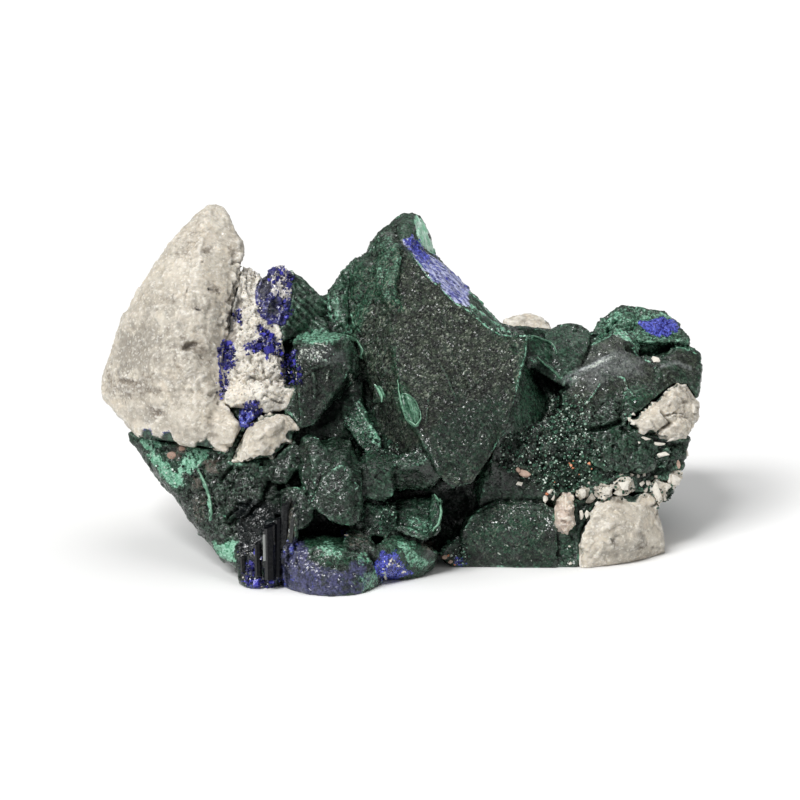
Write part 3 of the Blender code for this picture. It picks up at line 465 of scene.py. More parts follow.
        def group(m):
            if groups == 1:
                return np.zeros(len(m), int)
            return (m[:, 0] > -6).astype(int) + 2 * (m[:, 1] > -4).astype(int) + 4 * ((m[:, 0] > 16) & (m[:, 1] <= -4)).astype(int)

        group_q, group_t = group(middle_q), group(middle_t)
        made = []
        for g in np.unique(group_q):
            q, t = self.q[group_q == g], self.t[group_t == g]
            loops = np.concatenate([q.ravel(), t.ravel()])
            used, index = np.unique(loops, return_inverse=True)
            part_name = name if groups == 1 else f"{name}_{'abcdefgh'[g]}"
            mesh = bpy.data.meshes.new(part_name)
            mesh.vertices.add(len(used))
            mesh.vertices.foreach_set("co", (self.v[used] * 0.001).ravel())
            mesh.loops.add(len(loops))
            mesh.loops.foreach_set("vertex_index", index.reshape(-1).astype(np.int32))
            mesh.polygons.add(len(q) + len(t))
            starts = np.concatenate([np.arange(len(q)) * 4, len(q) * 4 + np.arange(len(t)) * 3])
            mesh.polygons.foreach_set("loop_start", starts.astype(np.int32))
            mesh.update()
            mesh.shade_smooth()
            for mask, values in masks.items():
                layer = mesh.attributes.new(mask, "FLOAT", "POINT")
                layer.data.foreach_set("value", values[used].astype(np.float32))
            if groups > 1:
                mesh.normals_split_custom_set_from_vertices(self.n[used].tolist())
            obj = bpy.data.objects.new(part_name, mesh)
            bpy.context.scene.collection.objects.link(obj)
            mesh.materials.append(material)
            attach(obj, "root")
            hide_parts(node)
            made.append(obj)
        return made


class Relief:
    """The nearest corner of the finished surfaces at each place on the sheet."""

    def __init__(self, surfaces, pitch=1.5):
        self.pitch, self.side = pitch, int(800 / pitch)
        self.v = np.concatenate([s.v for s in surfaces])
        self.n = np.concatenate([s.n for s in surfaces])
        u, w, self.d = sheet(self.v)
        place = (np.clip(w / pitch, 0, self.side - 1).astype(int)) * self.side + np.clip(u / pitch, 0, self.side - 1).astype(int)
        order = np.argsort(self.d, kind="stable")
        self.best = np.full(self.side * self.side, -1)
        self.best[place[order]] = order

    def at(self, u, w):
        """Position and outward direction, or none off the specimen."""
        spot = int(w / self.pitch) * self.side + int(u / self.pitch)
        found = [k for k in (self.best[spot + step] for step in (0, 1, -1, self.side, -self.side)) if k >= 0]
        if not found or self.best[spot] < 0:
            return None
        k = max(found, key=lambda i: self.d[i]) if self.d[found[0]] < max(self.d[i] for i in found) - 1.0 else found[0]
        return self.v[k], self.n[k]

    def scatter(self, points, per_mm2, seed, soft=3.0):
        """Places inside an outline on the sheet, thinning out over its edge."""
        rng = np.random.default_rng(seed)
        xs, ys = [q[0] for q in points], [q[1] for q in points]
        low, high = (min(xs) - soft, min(ys) - soft), (max(xs) + soft, max(ys) + soft)
        count = int((high[0] - low[0]) * (high[1] - low[1]) / UNITS**2 * per_mm2)
        u, w = rng.uniform(low[0], high[0], count), rng.uniform(low[1], high[1], count)
        kept = to_area(u, w, points) < soft * rng.uniform(-1, 1, count)
        for a, b in zip(u[kept], w[kept]):
            found = self.at(a, b)
            if found is not None:
                yield found


# ------------------------------------------------------------------ materials
def srgb(r, g, b):
    return tuple(((c / 255 + 0.055) / 1.055) ** 2.4 if c > 10 else c / 255 / 12.92 for c in (r, g, b))


class Graph:
    """A material's node graph, built from short calls."""

    def __init__(self, name):
        self.material = bpy.data.materials.new(name)
        self.material.use_nodes = True
        self.tree = self.material.node_tree
        self.tree.nodes.clear()
        self.out = self.tree.nodes.new("ShaderNodeOutputMaterial")
        self.shader = self.tree.nodes.new("ShaderNodeBsdfPrincipled")
        self.tree.links.new(self.shader.outputs[0], self.out.inputs[0])
        self.place = self.tree.nodes.new("ShaderNodeTexCoord").outputs["Object"]
        self.colour = None

    def put(self, value, socket):
        if isinstance(value, bpy.types.NodeSocket):
            self.tree.links.new(value, socket)
        elif isinstance(value, (tuple, list)) and len(value) == 3 and socket.type == "RGBA":
            socket.default_value = (*value, 1)
        else:
            socket.default_value = value

    def attribute(self, name):
        node = self.tree.nodes.new("ShaderNodeAttribute")
        node.attribute_name = name
        return node.outputs["Fac"]

    def noise(self, per_mm, detail=3.0, rough=0.55, warp=0.0, place=None):
        node = self.tree.nodes.new("ShaderNodeTexNoise")
        self.put(self.place if place is None else place, node.inputs["Vector"])
        node.inputs["Scale"].default_value = per_mm * 1000
        node.inputs["Detail"].default_value = detail
        node.inputs["Roughness"].default_value = rough
        node.inputs["Distortion"].default_value = warp
        return node.outputs["Fac"]

    def stretched(self, turn, across, along):
        """Coordinates for a pattern of short strokes: turned in the display side's plane, then scaled across and along."""
        node = self.tree.nodes.new("ShaderNodeMapping")
        node.vector_type = "TEXTURE"
        self.put(self.place, node.inputs["Vector"])
        node.inputs["Rotation"].default_value = (0.0, math.radians(turn), 0.0)
        node.inputs["Scale"].default_value = (along, across, across)
        return node.outputs["Vector"]

    def cell_colour(self, per_mm):
        node = self.tree.nodes.new("ShaderNodeTexVoronoi")
        self.put(self.place, node.inputs["Vector"])
        node.inputs["Scale"].default_value = per_mm * 1000
        return node.outputs["Color"], node.outputs["Distance"]

    def cells(self, per_mm):
        split = self.tree.nodes.new("ShaderNodeSeparateColor")
        self.put(self.cell_colour(per_mm)[0], split.inputs[0])
        return split.outputs[0]

    def maths(self, kind, a, b=0.0, clamp=False):
        node = self.tree.nodes.new("ShaderNodeMath")
        node.operation = kind
        node.use_clamp = clamp
        self.put(a, node.inputs[0])
        self.put(b, node.inputs[1])
        return node.outputs[0]

    def band(self, value, low, high, out_low=0.0, out_high=1.0, soft=True):
        node = self.tree.nodes.new("ShaderNodeMapRange")
        node.interpolation_type = "SMOOTHSTEP" if soft else "LINEAR"
        self.put(value, node.inputs["Value"])
        node.inputs["From Min"].default_value = low
        node.inputs["From Max"].default_value = high
        node.inputs["To Min"].default_value = out_low
        node.inputs["To Max"].default_value = out_high
        return node.outputs["Result"]

    def mix(self, share, a, b, kind="MIX"):
        node = self.tree.nodes.new("ShaderNodeMix")
        node.data_type = "RGBA"
        node.blend_type = kind
        self.put(share, node.inputs[0])
        self.put(a, node.inputs[6])
        self.put(b, node.inputs[7])
        return node.outputs[2]

    def over(self, share, a):
        self.colour = self.mix(share, self.colour, a)

    def scale(self, colour, amount):
        """A colour made lighter or darker by a number that varies."""
        node = self.tree.nodes.new("ShaderNodeVectorMath")
        node.operation = "SCALE"
        self.put(colour, node.inputs[0])
        self.put(amount, node.inputs["Scale"])
        return node.outputs[0]

    def bump(self, height, strength, depth_mm, normal=None):
        node = self.tree.nodes.new("ShaderNodeBump")
        self.put(strength, node.inputs["Strength"])
        node.inputs["Distance"].default_value = depth_mm * 0.001
        self.put(height, node.inputs["Height"])
        if normal is not None:
            self.put(normal, node.inputs["Normal"])
        return node.outputs["Normal"]

    def glitter(self, per_mm, amount):
        """The surface's normal, turned a little in each of many small cells, as on a crust of small crystals."""
        turn = self.tree.nodes.new("ShaderNodeVectorMath")
        turn.operation = "SUBTRACT"
        self.put(self.cell_colour(per_mm)[0], turn.inputs[0])
        turn.inputs[1].default_value = (0.5, 0.5, 0.5)
        turned = self.scale(turn.outputs[0], amount)
        node = self.tree.nodes.new("ShaderNodeVectorMath")
        self.put(turned, node.inputs[0])
        self.put(self.tree.nodes.new("ShaderNodeNewGeometry").outputs["Normal"], node.inputs[1])
        even = self.tree.nodes.new("ShaderNodeVectorMath")
        even.operation = "NORMALIZE"
        self.put(node.outputs[0], even.inputs[0])
        return even.outputs[0]

    def ragged(self, name, pattern, amount=0.7, width=0.1):
        """A mask with its soft edge broken up by a finer pattern, which also leaves holes where the mask is under 1."""
        even = self.band(pattern, 0.3, 0.7, -0.5, 0.5, soft=False)
        moved = self.times(even, amount, self.band(self.attribute(name), 0.0, 0.3))
        return self.band(self.maths("ADD", self.attribute(name), moved), 0.5 - width, 0.5 + width)

    def times(self, *values):
        out = values[0]
        for value in values[1:]:
            out = self.maths("MULTIPLY", out, value)
        return out


def malachite_material():
    g = Graph("malachite_surface")
    broad = g.noise(0.22, 4, 0.6)
    patch = g.noise(0.9, 5, 0.7, 0.3)
    fine = g.noise(3.0, 4, 0.7)
    glint_specks = g.noise(3.8, 2, 0.6, 0.4, g.stretched(-48, 1.0, 2.0))
    pepper = g.noise(2.8, 4, 0.7, 0.6, g.stretched(40, 1.0, 2.0))
    cloud = g.noise(0.5, 4, 0.65, 0.4)
    grain = g.cells(4.6)
    grainy = g.attribute("grain")
    deep_shade = g.attribute("deep_shade")

    g.colour = g.mix(g.band(patch, 0.38, 0.64), srgb(3, 23, 14), srgb(22, 72, 46))
    g.over(g.band(broad, 0.42, 0.62, 0.0, 0.5), srgb(26, 40, 33))
    grey = g.mix(g.band(g.maths("ADD", g.times(patch, 0.5), g.times(pepper, 0.5)), 0.4, 0.62), srgb(8, 21, 14), srgb(68, 77, 62))
    g.over(g.times(g.attribute("grey"), 0.82), grey)
    g.over(g.times(g.attribute("grey"), g.band(cloud, 0.5, 0.66, 0.0, 0.6)), g.mix(g.band(fine, 0.38, 0.62), srgb(14, 36, 26), srgb(52, 76, 61)))
    g.over(g.times(g.attribute("grey"), g.band(cloud, 0.42, 0.3, 0.0, 0.35)), g.mix(g.band(fine, 0.38, 0.62), srgb(40, 38, 30), srgb(94, 90, 77)))
    green = g.mix(g.band(fine, 0.36, 0.66), srgb(14, 60, 38), srgb(70, 130, 98))
    g.over(g.times(g.attribute("green"), g.band(patch, 0.3, 0.6, 0.4, 0.95)), green)
    # Painted highlight and shade: edges and raised grains are painted paler, and hollows painted darker.
    g.over(g.times(g.attribute("crest"), g.band(fine, 0.42, 0.6, 0.2, 0.95)), srgb(126, 164, 141))
    g.colour = g.scale(g.colour, g.band(g.attribute("pit"), 0.0, 1.0, 1.0, 0.18, soft=False))
    dark = g.maths("SUBTRACT", 1.0, g.times(g.band(pepper, 0.52, 0.42, 0.0, 0.9), g.band(grainy, 0.0, 1.0, 0.7, 1.0)))
    g.colour = g.scale(g.colour, dark)
    # Painted shade as well as darker tone: the dim mask darkens the base colour.
    g.colour = g.scale(g.colour, g.band(g.attribute("dim_tone_and_shade"), 0.0, 1.0, 0.72, 0.3, soft=False))
    # Painted glints: light specks on the granular faces.
    light = g.times(g.band(glint_specks, 0.54, 0.64), g.band(grainy, 0.2, 1.0), g.band(patch, 0.4, 0.62, 0.25, 1.0), g.band(cloud, 0.4, 0.6, 0.6, 1.0), g.band(g.attribute("dim_tone_and_shade"), 0.0, 1.0, 1.0, 0.3))
    g.over(g.times(light, 0.66), srgb(156, 164, 146))
    # Painted wet highlights: pale dashes on the smoother crystals.
    painted_wet_highlight = g.times(g.band(g.noise(2.7, 3, 0.62, 0.5, g.stretched(24, 1.0, 2.4)), 0.565, 0.64), g.band(grainy, 0.55, 0.1), g.band(patch, 0.4, 0.6, 0.2, 1.0), g.band(g.attribute("pit"), 0.0, 0.6, 1.0, 0.1))
    g.over(g.times(painted_wet_highlight, 0.62), srgb(138, 170, 150))
    # Painted sheen: pale grey highlight where this mask is set.
    g.over(g.times(g.attribute("painted_sheen"), g.band(patch, 0.36, 0.62, 0.35, 0.8)), g.mix(g.band(fine, 0.38, 0.62), srgb(104, 110, 112), srgb(206, 210, 212)))
    mint = g.mix(g.band(fine, 0.34, 0.66), srgb(66, 136, 102), srgb(164, 212, 188))
    g.over(g.ragged("mint", g.noise(2.2, 4, 0.75), 1.0, 0.22), mint)
    dust = g.mix(g.band(g.noise(2.6, 4, 0.7), 0.36, 0.64), srgb(30, 33, 54), srgb(86, 86, 130))
    g.over(g.times(g.ragged("violet", g.noise(0.9, 5, 0.7), 1.0, 0.3), 0.8), dust)
    slant = g.noise(2.6, 4, 0.7, 0.2, g.stretched(38, 1.0, 4.0))
    streak = g.mix(g.band(slant, 0.4, 0.6), srgb(48, 48, 148), srgb(186, 192, 222))
    g.over(g.ragged("streak", slant, 1.2, 0.16), streak)
    blue = g.mix(g.band(g.noise(3.4, 3, 0.7, 0.3), 0.4, 0.62), srgb(22, 18, 96), srgb(98, 108, 216))
    g.over(g.ragged("blue", g.noise(2.4, 4, 0.8), 1.1, 0.12), blue)
    ice = g.mix(g.band(g.noise(1.3, 4, 0.6, 0.3, g.stretched(-60, 1.0, 3.0)), 0.4, 0.62), srgb(146, 208, 174), srgb(216, 246, 230))
    g.over(g.ragged("ice", g.noise(2.0, 4, 0.7), 0.8, 0.25), ice)
    # Whitish streaks and frost, with painted glints.
    pale_and_glint = g.mix(fine, srgb(146, 162, 150), srgb(226, 230, 220))
    g.over(g.ragged("pale_and_glint", g.noise(3.6, 3, 0.7), 1.3, 0.2), pale_and_glint)
    g.over(g.times(g.ragged("earth", g.noise(2.0, 4, 0.7), 1.0, 0.25), 0.8), g.mix(fine, srgb(66, 62, 56), srgb(124, 114, 104)))
    g.over(g.attribute("black"), g.mix(g.band(fine, 0.4, 0.64), srgb(5, 7, 10), srgb(26, 32, 38)))
    # Painted shade: near black in cracks, hollows and caves.
    g.over(deep_shade, srgb(3, 6, 5))
    g.put(g.colour, g.shader.inputs["Base Color"])

    open_air = g.times(g.band(deep_shade, 0.0, 1.0, 1.0, 0.1), g.band(g.attribute("pit"), 0.0, 1.0, 1.0, 0.25))
    gloss = g.band(grain, 0.0, 1.0, 0.2, 0.46)
    g.put(g.maths("SUBTRACT", gloss, g.times(g.attribute("gloss"), 0.14)), g.shader.inputs["Roughness"])
    g.put(g.times(open_air, g.band(grainy, 0.3, 1.0, 0.25, 0.24)), g.shader.inputs["Specular IOR Level"])
    # A clear skin of tiny crystal faces, each turned its own way, so that some of them glint.
    g.put(g.times(open_air, g.band(cloud, 0.4, 0.6, 0.3, 1.0), g.band(grainy, 0.6, 1.0, 1.0, 0.42), g.band(g.attribute("green"), 0.4, 0.95, 1.0, 0.5)), g.shader.inputs["Coat Weight"])
    g.put(g.band(grain, 0.0, 1.0, 0.06, 0.2), g.shader.inputs["Coat Roughness"])
    g.put(g.glitter(5.2, g.band(grainy, 0.0, 1.0, 0.42, 0.74)), g.shader.inputs["Coat Normal"])
    relief = g.times(g.maths("ADD", g.times(g.noise(3.6, 4, 0.7), 0.9), g.times(grain, 0.3)), g.band(grainy, 0.0, 1.0, 0.35, 1.0))
    ridged = g.bump(g.noise(1.9, 5, 0.68, 0.3, g.stretched(35, 1.0, 2.0)), g.band(grainy, 0.0, 1.0, 0.7, 0.9), 0.3)
    g.put(g.bump(relief, 0.7, 0.1, ridged), g.shader.inputs["Normal"])
    return g.material


def matrix_material(name, light, middle, shadow, stain_and_shade):
    g = Graph(name)
    broad = g.noise(0.17, 5, 0.6, 0.4)
    patch = g.noise(0.6, 5, 0.66, 0.4)
    fine = g.noise(2.6, 4, 0.7)
    grain = g.cells(4.0)
    host = g.attribute("host")
    lie = g.stretched(24, 1.0, 2.6)
    g.colour = g.mix(g.band(broad, 0.36, 0.62), srgb(*light), srgb(*middle))
    g.over(g.band(patch, 0.44, 0.66, 0.0, 0.7), srgb(*shadow))
    g.over(g.band(g.noise(0.35, 4, 0.6, 0.5), 0.5, 0.66, 0.0, 0.5), srgb(222, 210, 190))
    g.over(g.band(g.noise(1.5, 5, 0.7, 0.4, lie), 0.52, 0.7, 0.0, 0.65), srgb(*[0.9 * c for c in shadow]))
    g.over(g.band(g.noise(1.9, 4, 0.7, 0.4, lie), 0.58, 0.72, 0.0, 0.6), srgb(236, 232, 222))
    g.over(g.times(g.ragged("grey", patch, 0.7, 0.4), 0.95), g.mix(fine, srgb(*[0.7 * c for c in middle]), srgb(*[0.88 * c for c in middle])))
    g.over(g.times(g.ragged("stain_and_shade", g.noise(1.4, 4, 0.7), 0.9, 0.3), 0.75), srgb(*stain_and_shade))
    g.over(g.band(g.noise(1.7, 4, 0.7, 0.4), 0.66, 0.72, 0.0, 0.55), srgb(*stain_and_shade))
    g.over(g.band(grain, 0.82, 0.98, 0.0, 0.45), srgb(240, 237, 228))
    g.over(g.band(fine, 0.56, 0.7, 0.0, 0.3), srgb(*shadow))
    # Painted highlight on crests, and painted shade in pits in a darker stain colour.
    g.over(g.band(g.attribute("crest"), 0.0, 1.0, 0.0, 0.5), srgb(240, 236, 227))
    g.over(g.band(g.attribute("pit"), 0.0, 1.0, 0.0, 0.4), srgb(*[0.9 * c for c in stain_and_shade]))
    g.over(g.ragged("green", g.noise(2.4, 4, 0.75), 1.2, 0.15), g.mix(g.band(fine, 0.36, 0.64), srgb(24, 52, 38), srgb(84, 140, 110)))
    g.over(g.ragged("blue", g.noise(2.6, 4, 0.8), 1.5, 0.07), g.mix(g.band(fine, 0.36, 0.64), srgb(16, 13, 66), srgb(72, 74, 170)))
    # Painted shade: dark in cracks and pits.
    g.over(g.attribute("deep_shade"), srgb(20, 19, 18))
    g.over(host, g.mix(g.band(fine, 0.38, 0.64), srgb(10, 24, 18), srgb(62, 92, 76)))
    g.put(g.colour, g.shader.inputs["Base Color"])
    g.put(g.band(grain, 0.0, 1.0, 0.3, 0.66), g.shader.inputs["Roughness"])
    g.shader.inputs["Specular IOR Level"].default_value = 0.45
    g.shader.inputs["Subsurface Weight"].default_value = 0.25
    g.shader.inputs["Subsurface Radius"].default_value = (1.0, 0.8, 0.55)
    g.shader.inputs["Subsurface Scale"].default_value = 0.0006
    g.shader.inputs["Coat Weight"].default_value = 0.35
    g.put(g.band(grain, 0.0, 1.0, 0.14, 0.4), g.shader.inputs["Coat Roughness"])
    g.put(g.glitter(4.0, 0.8), g.shader.inputs["Coat Normal"])
    lying = g.stretched(22, 1.0, 2.4)
    busy = g.band(g.noise(0.3, 3, 0.6, 0.3), 0.4, 0.62, 0.1, 0.6)
    crisp = g.band(g.noise(0.4, 3, 0.6, 0.3), 0.4, 0.62, 0.35, 0.9)
    normal = g.bump(g.maths("ADD", g.noise(4.4, 4, 0.72), g.times(grain, 0.3)), crisp, 0.11, g.glitter(4.0, 0.12))
    normal = g.bump(g.noise(1.3, 5, 0.66, 0.5, lying), busy, 0.3, normal)
    g.put(normal, g.shader.inputs["Normal"])
    return g.material


def azurite_material(name="azurite_surface"):
    g = Graph(name)
    fine = g.noise(2.4, 4, 0.7)
    grain = g.cells(3.2)
    g.colour = g.mix(g.band(fine, 0.36, 0.64), srgb(6, 6, 26), srgb(24, 22, 78))
    g.over(g.band(grain, 0.75, 1.0, 0.0, 0.5), srgb(52, 50, 150))
    # Painted highlight: paler blue on crests.
    g.over(g.band(g.attribute("crest"), 0.0, 1.0, 0.0, 0.45), srgb(84, 84, 160))
    g.over(g.ragged("slate", g.noise(1.2, 4, 0.7), 0.7, 0.25), g.mix(g.band(fine, 0.36, 0.64), srgb(16, 16, 26), srgb(60, 60, 80)))
    g.over(g.ragged("frost", g.noise(2.0, 4, 0.8), 1.4, 0.08), g.mix(fine, srgb(178, 172, 170), srgb(236, 232, 226)))
    g.put(g.colour, g.shader.inputs["Base Color"])
    g.put(g.band(grain, 0.0, 1.0, 0.16, 0.45), g.shader.inputs["Roughness"])
    g.shader.inputs["Specular IOR Level"].default_value = 0.5
    g.shader.inputs["Coat Weight"].default_value = 0.6
    g.shader.inputs["Coat Roughness"].default_value = 0.12
    g.put(g.glitter(3.4, 0.55), g.shader.inputs["Coat Normal"])
    g.put(g.bump(g.noise(3.0, 3, 0.6), 0.5, 0.08, g.glitter(3.2, 0.2)), g.shader.inputs["Normal"])
    return g.material


def crystal_material(name, dark, bright, rough=(0.15, 0.5), level=0.5, speckle=0.3):
    """For small grains and crystals: each has its own tone."""
    g = Graph(name)
    tone = g.attribute("tone")
    share = g.band(g.maths("ADD", g.times(tone, 0.7), g.band(g.noise(2.6, 3, 0.7), 0.35, 0.65, 0.0, speckle)), 0.0, 1.0)
    g.colour = g.mix(share, srgb(*dark), srgb(*bright))
    g.put(g.colour, g.shader.inputs["Base Color"])
    g.put(g.band(g.noise(3.0, 2, 0.6), 0.35, 0.65, rough[0], rough[1]), g.shader.inputs["Roughness"])
    g.shader.inputs["Specular IOR Level"].default_value = level
    g.put(g.bump(g.noise(4.0, 3, 0.6), 0.4 * min(1.0, speckle / 0.3 + 0.25), 0.06), g.shader.inputs["Normal"])
    return g.material


# ------------------------------------------------------------------ grains and small crystals
BLOCK = np.array([(x, y, z) for z in (-1, 1) for y in (-1, 1) for x in (-1, 1)], float)
BLOCK_FACES = np.array(
    [(0, 2, 3), (0, 3, 1), (4, 5, 7), (4, 7, 6), (0, 1, 5), (0, 5, 4), (2, 6, 7), (2, 7, 3), (0, 4, 6), (0, 6, 2), (1, 3, 7), (1, 7, 5)]
)


def prism(sides, tip):
    ring = [(math.cos(2 * math.pi * k / sides), math.sin(2 * math.pi * k / sides)) for k in range(sides)]
    points = [(x, y, -1) for x, y in ring] + [(x, y, 0.6) for x, y in ring] + [(0, 0, 0.6 + tip), (0, 0, -1)]
    faces = []
    for k in range(sides):
        n = (k + 1) % sides
        faces += [(k, n, sides + n), (k, sides + n, sides + k), (sides + k, sides + n, 2 * sides), (n, k, 2 * sides + 1)]
    return np.array(points, float), np.array(faces)


def shard(seed, corners=11, rough=0.25):
    """An angular fragment: the hull of scattered corners, about 1 in radius."""
    rng = np.random.default_rng(seed)
    points = rng.normal(size=(corners, 3))
    points /= np.linalg.norm(points, axis=1, keepdims=True)
    points *= 1 - rough * rng.uniform(0, 1, (corners, 1))
    shape = bmesh.new()
    for point in points.tolist():
        shape.verts.new(point)
    bmesh.ops.convex_hull(shape, input=shape.verts, use_existing_faces=False)
    bmesh.ops.triangulate(shape, faces=shape.faces)
    bmesh.ops.recalc_face_normals(shape, faces=shape.faces)
    shape.verts.index_update()
    v = np.array([tuple(vert.co) for vert in shape.verts])
    f = np.array([[vert.index for vert in face.verts] for face in shape.faces])
    shape.free()
    return v, f


def rounded(shape, times=1):
    """A shape with each triangle split in four and its new corners drawn outwards a little."""
    p, t = shape
    for _ in range(times):
        p, half, out = list(p), {}, []
        for a, b, c in t.tolist():
            middles = []
            for s, e in ((a, b), (b, c), (c, a)):
                key = (min(s, e), max(s, e))
                if key not in half:
                    half[key] = len(p)
                    middle = (p[s] + p[e]) / 2
                    p.append(middle * (1 + 0.6 * (1 - min(1.0, float(np.linalg.norm(middle))))))
                middles.append(half[key])
            ab, bc, ca = middles
            out += [(a, ab, ca), (b, bc, ab), (c, ca, bc), (ab, bc, ca)]
        p, t = np.array(p), np.array(out)
    return p, t


SHARDS = [shard(seed) for seed in range(300, 324)]
GRAINS = [rounded(shard(seed, 14, 0.12)) for seed in range(340, 352)]


class Crust:
    """Many small solids gathered into one mesh."""

    def __init__(self, seed):
        self.rng = np.random.default_rng(seed)
        self.v, self.f, self.tone, self.count = [], [], [], 0

    def add(self, shape, centre, size, up, tone, jitter=0.25, spin=None):
        points, faces = shape
        points = points * (1 + jitter * self.rng.uniform(-1, 1, points.shape))
        up = up / max(np.linalg.norm(up), 1e-9)
        side = np.cross(up, self.rng.normal(size=3) if spin is None else spin)
        side /= max(np.linalg.norm(side), 1e-9)
        third = np.cross(up, side)
        points = points * np.array(size)
        self.v.append(points[:, :1] * side + points[:, 1:2] * third + points[:, 2:] * up + centre)
        self.f.append(faces + self.count)
        self.tone.append(np.full(len(points), tone))
        self.count += len(points)

    def piece(self, name, material, node, slot, smooth_angle=None):
        v = np.concatenate(self.v)
        v[:, 2] = np.maximum(v[:, 2], 0.02)
        v[:, :2] = np.clip(v[:, :2], np.array(CAD_BOX[0][:2]) * 1000 - 0.8, np.array(CAD_BOX[1][:2]) * 1000 + 0.8)
        f = np.concatenate(self.f)
        mesh = bpy.data.meshes.new(name)
        mesh.from_pydata((v * 0.001).tolist(), [], f.tolist())
        mesh.update()
        if smooth_angle is not None:
            mesh.shade_smooth()
            mesh.set_sharp_from_angle(angle=math.radians(smooth_angle))
        layer = mesh.attributes.new("tone", "FLOAT", "POINT")
        layer.data.foreach_set("value", np.concatenate(self.tone).astype(np.float32))
        mesh.materials.append(material)
        obj = bpy.data.objects.new(name, mesh)
        bpy.context.scene.collection.objects.link(obj)
        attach(obj, "root")
        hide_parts(node)
        print(name, "triangles", len(f))
        return obj


# ------------------------------------------------------------------ camera, light and floor
def stage():
    scene = bpy.context.scene
    scene.view_settings.view_transform = "Standard"
    camera = bpy.data.cameras.new("camera")
    camera.sensor_width = 36
    camera.lens = 36 * DISTANCE / (800 / UNITS)
    camera.clip_start = 0.01
    seat = bpy.data.objects.new("camera", camera)
    scene.collection.objects.link(seat)
    seat.location = EYE * 0.001
    seat.rotation_euler = (math.pi / 2 - LEAN, 0, 0)
    scene.camera = seat

    world = bpy.data.worlds.new("studio")
    world.use_nodes = True
    world.node_tree.nodes["Background"].inputs[0].default_value = (1, 1, 1, 1)
    world.node_tree.nodes["Background"].inputs[1].default_value = 0.25
    scene.world = world

    def sun(name, place, angle, strength):
        light = bpy.data.lights.new(name, "SUN")
        light.angle = math.radians(angle)
        light.energy = strength
        obj = bpy.data.objects.new(name, light)
        scene.collection.objects.link(obj)
        obj.rotation_euler = Vector(place).to_track_quat("Z", "Y").to_euler()

    sun("key", (-0.55, -0.62, 0.8), 22, 2.0)
    sun("glint", (-0.25, -0.55, 0.85), 10, 0.95)
    sun("top", (0.2, 0.15, 1.0), 50, 0.9)

    mesh = bpy.data.meshes.new("floor")
    s = 2.5
    mesh.from_pydata([(-s, -s, 0), (s, -s, 0), (s, s, 0), (-s, s, 0)], [], [(0, 1, 2, 3)])
    floor = bpy.data.objects.new("floor", mesh)
    scene.collection.objects.link(floor)
    floor.location.z = -0.00005
    g = Graph("floor_paper")
    g.put(g.mix(g.noise(0.02, 2), (0.88, 0.88, 0.875), (0.9, 0.9, 0.895)), g.shader.inputs["Base Color"])
    g.shader.inputs["Roughness"].default_value = 0.9
    g.shader.inputs["Specular IOR Level"].default_value = 0.1
    mesh.materials.append(g.material)


# ------------------------------------------------------------------ the malachite cluster
FACE = [(405, 247), (450, 293), (500, 335), (527, 337), (521, 370), (514, 402), (505, 430), (487, 462), (471, 484), (456, 487), (440, 479), (430, 441), (400, 400), (392, 330), (392, 300)]
LEFT_FACE = [(392, 250), (405, 247), (400, 300), (402, 400), (425, 440), (398, 456), (380, 430), (352, 345), (350, 300), (365, 265), (385, 245)]
PEAK = [(415, 214), (405, 214), (380, 236), (374, 262), (400, 245), (404, 240), (420, 239), (434, 255), (430, 236)]
MINT_FACET = [(416, 216), (424, 222), (433, 243), (435, 254), (425, 250), (418, 238), (414, 226)]
BLUE_STREAK = [(403, 241), (412, 237), (418, 241), (424, 251), (437, 258), (451, 270), (467, 285), (470, 306), (454, 302), (440, 287), (427, 275), (416, 259)]
TOP_FACET = [(467, 285), (500, 322), (527, 336), (500, 336), (470, 308)]
FLAKE = [(342, 272), (328, 289), (328, 320), (345, 334), (350, 320), (347, 296), (351, 282)]
PLATE = [(572, 375), (590, 346), (620, 330), (634, 346), (648, 363), (662, 360), (676, 348), (699, 354), (699, 385), (672, 392), (648, 408), (620, 392), (600, 400), (575, 400), (566, 390)]
PLATE_LOW = [(566, 390), (600, 398), (625, 395), (640, 410), (628, 424), (588, 430), (576, 424), (552, 420)]
CREST = [(590, 346), (600, 318), (622, 306), (645, 308), (672, 318), (690, 342), (688, 350), (672, 347), (655, 354), (636, 348), (624, 330), (606, 336)]
SCOOP = [(386, 520), (405, 505), (420, 500), (434, 496), (441, 512), (437, 530), (425, 536), (408, 532), (392, 526)]
FLAT_TOP = [(290, 341), (302, 330), (323, 328), (336, 330), (349, 333), (341, 338), (331, 344), (320, 346), (304, 343)]
FLAT_SIDE = [(345, 334), (356, 340), (363, 350), (361, 358), (352, 362), (344, 350)]
FLAT_FRONT = [(290, 345), (320, 347), (341, 340), (345, 355), (345, 385), (325, 412), (312, 428), (300, 432), (298, 400), (285, 385), (288, 360)]
SIDE_BLADE = [(528, 334), (554, 344), (557, 356), (552, 364), (537, 357), (529, 361)]
HOLLOW = [(531, 365), (541, 361), (559, 383), (554, 396), (542, 396), (532, 380)]
BAND = [(537, 357), (543, 358), (561, 377), (561, 383), (552, 379), (536, 361)]
STRIP = [(517, 402), (524, 372), (530, 364), (534, 385), (545, 398), (545, 420), (528, 428), (515, 420)]
RIGHT_MIDDLE = [(542, 333), (569, 323), (588, 328), (590, 336), (577, 362), (564, 387), (559, 379), (557, 347)]
BACK_BLADE = [(286, 272), (316, 280), (332, 300), (322, 330), (296, 342), (284, 320)]
DRUSE_FIELD = [(500, 440), (530, 425), (560, 418), (578, 430), (600, 436), (602, 452), (590, 486), (560, 497), (520, 480), (498, 470)]
GREEN_BAND = [(528, 470), (560, 455), (598, 450), (610, 470), (600, 485), (570, 497), (545, 490)]
LOWER_PLATE = [(588, 432), (622, 424), (640, 430), (662, 446), (660, 468), (640, 476), (610, 476), (600, 455)]
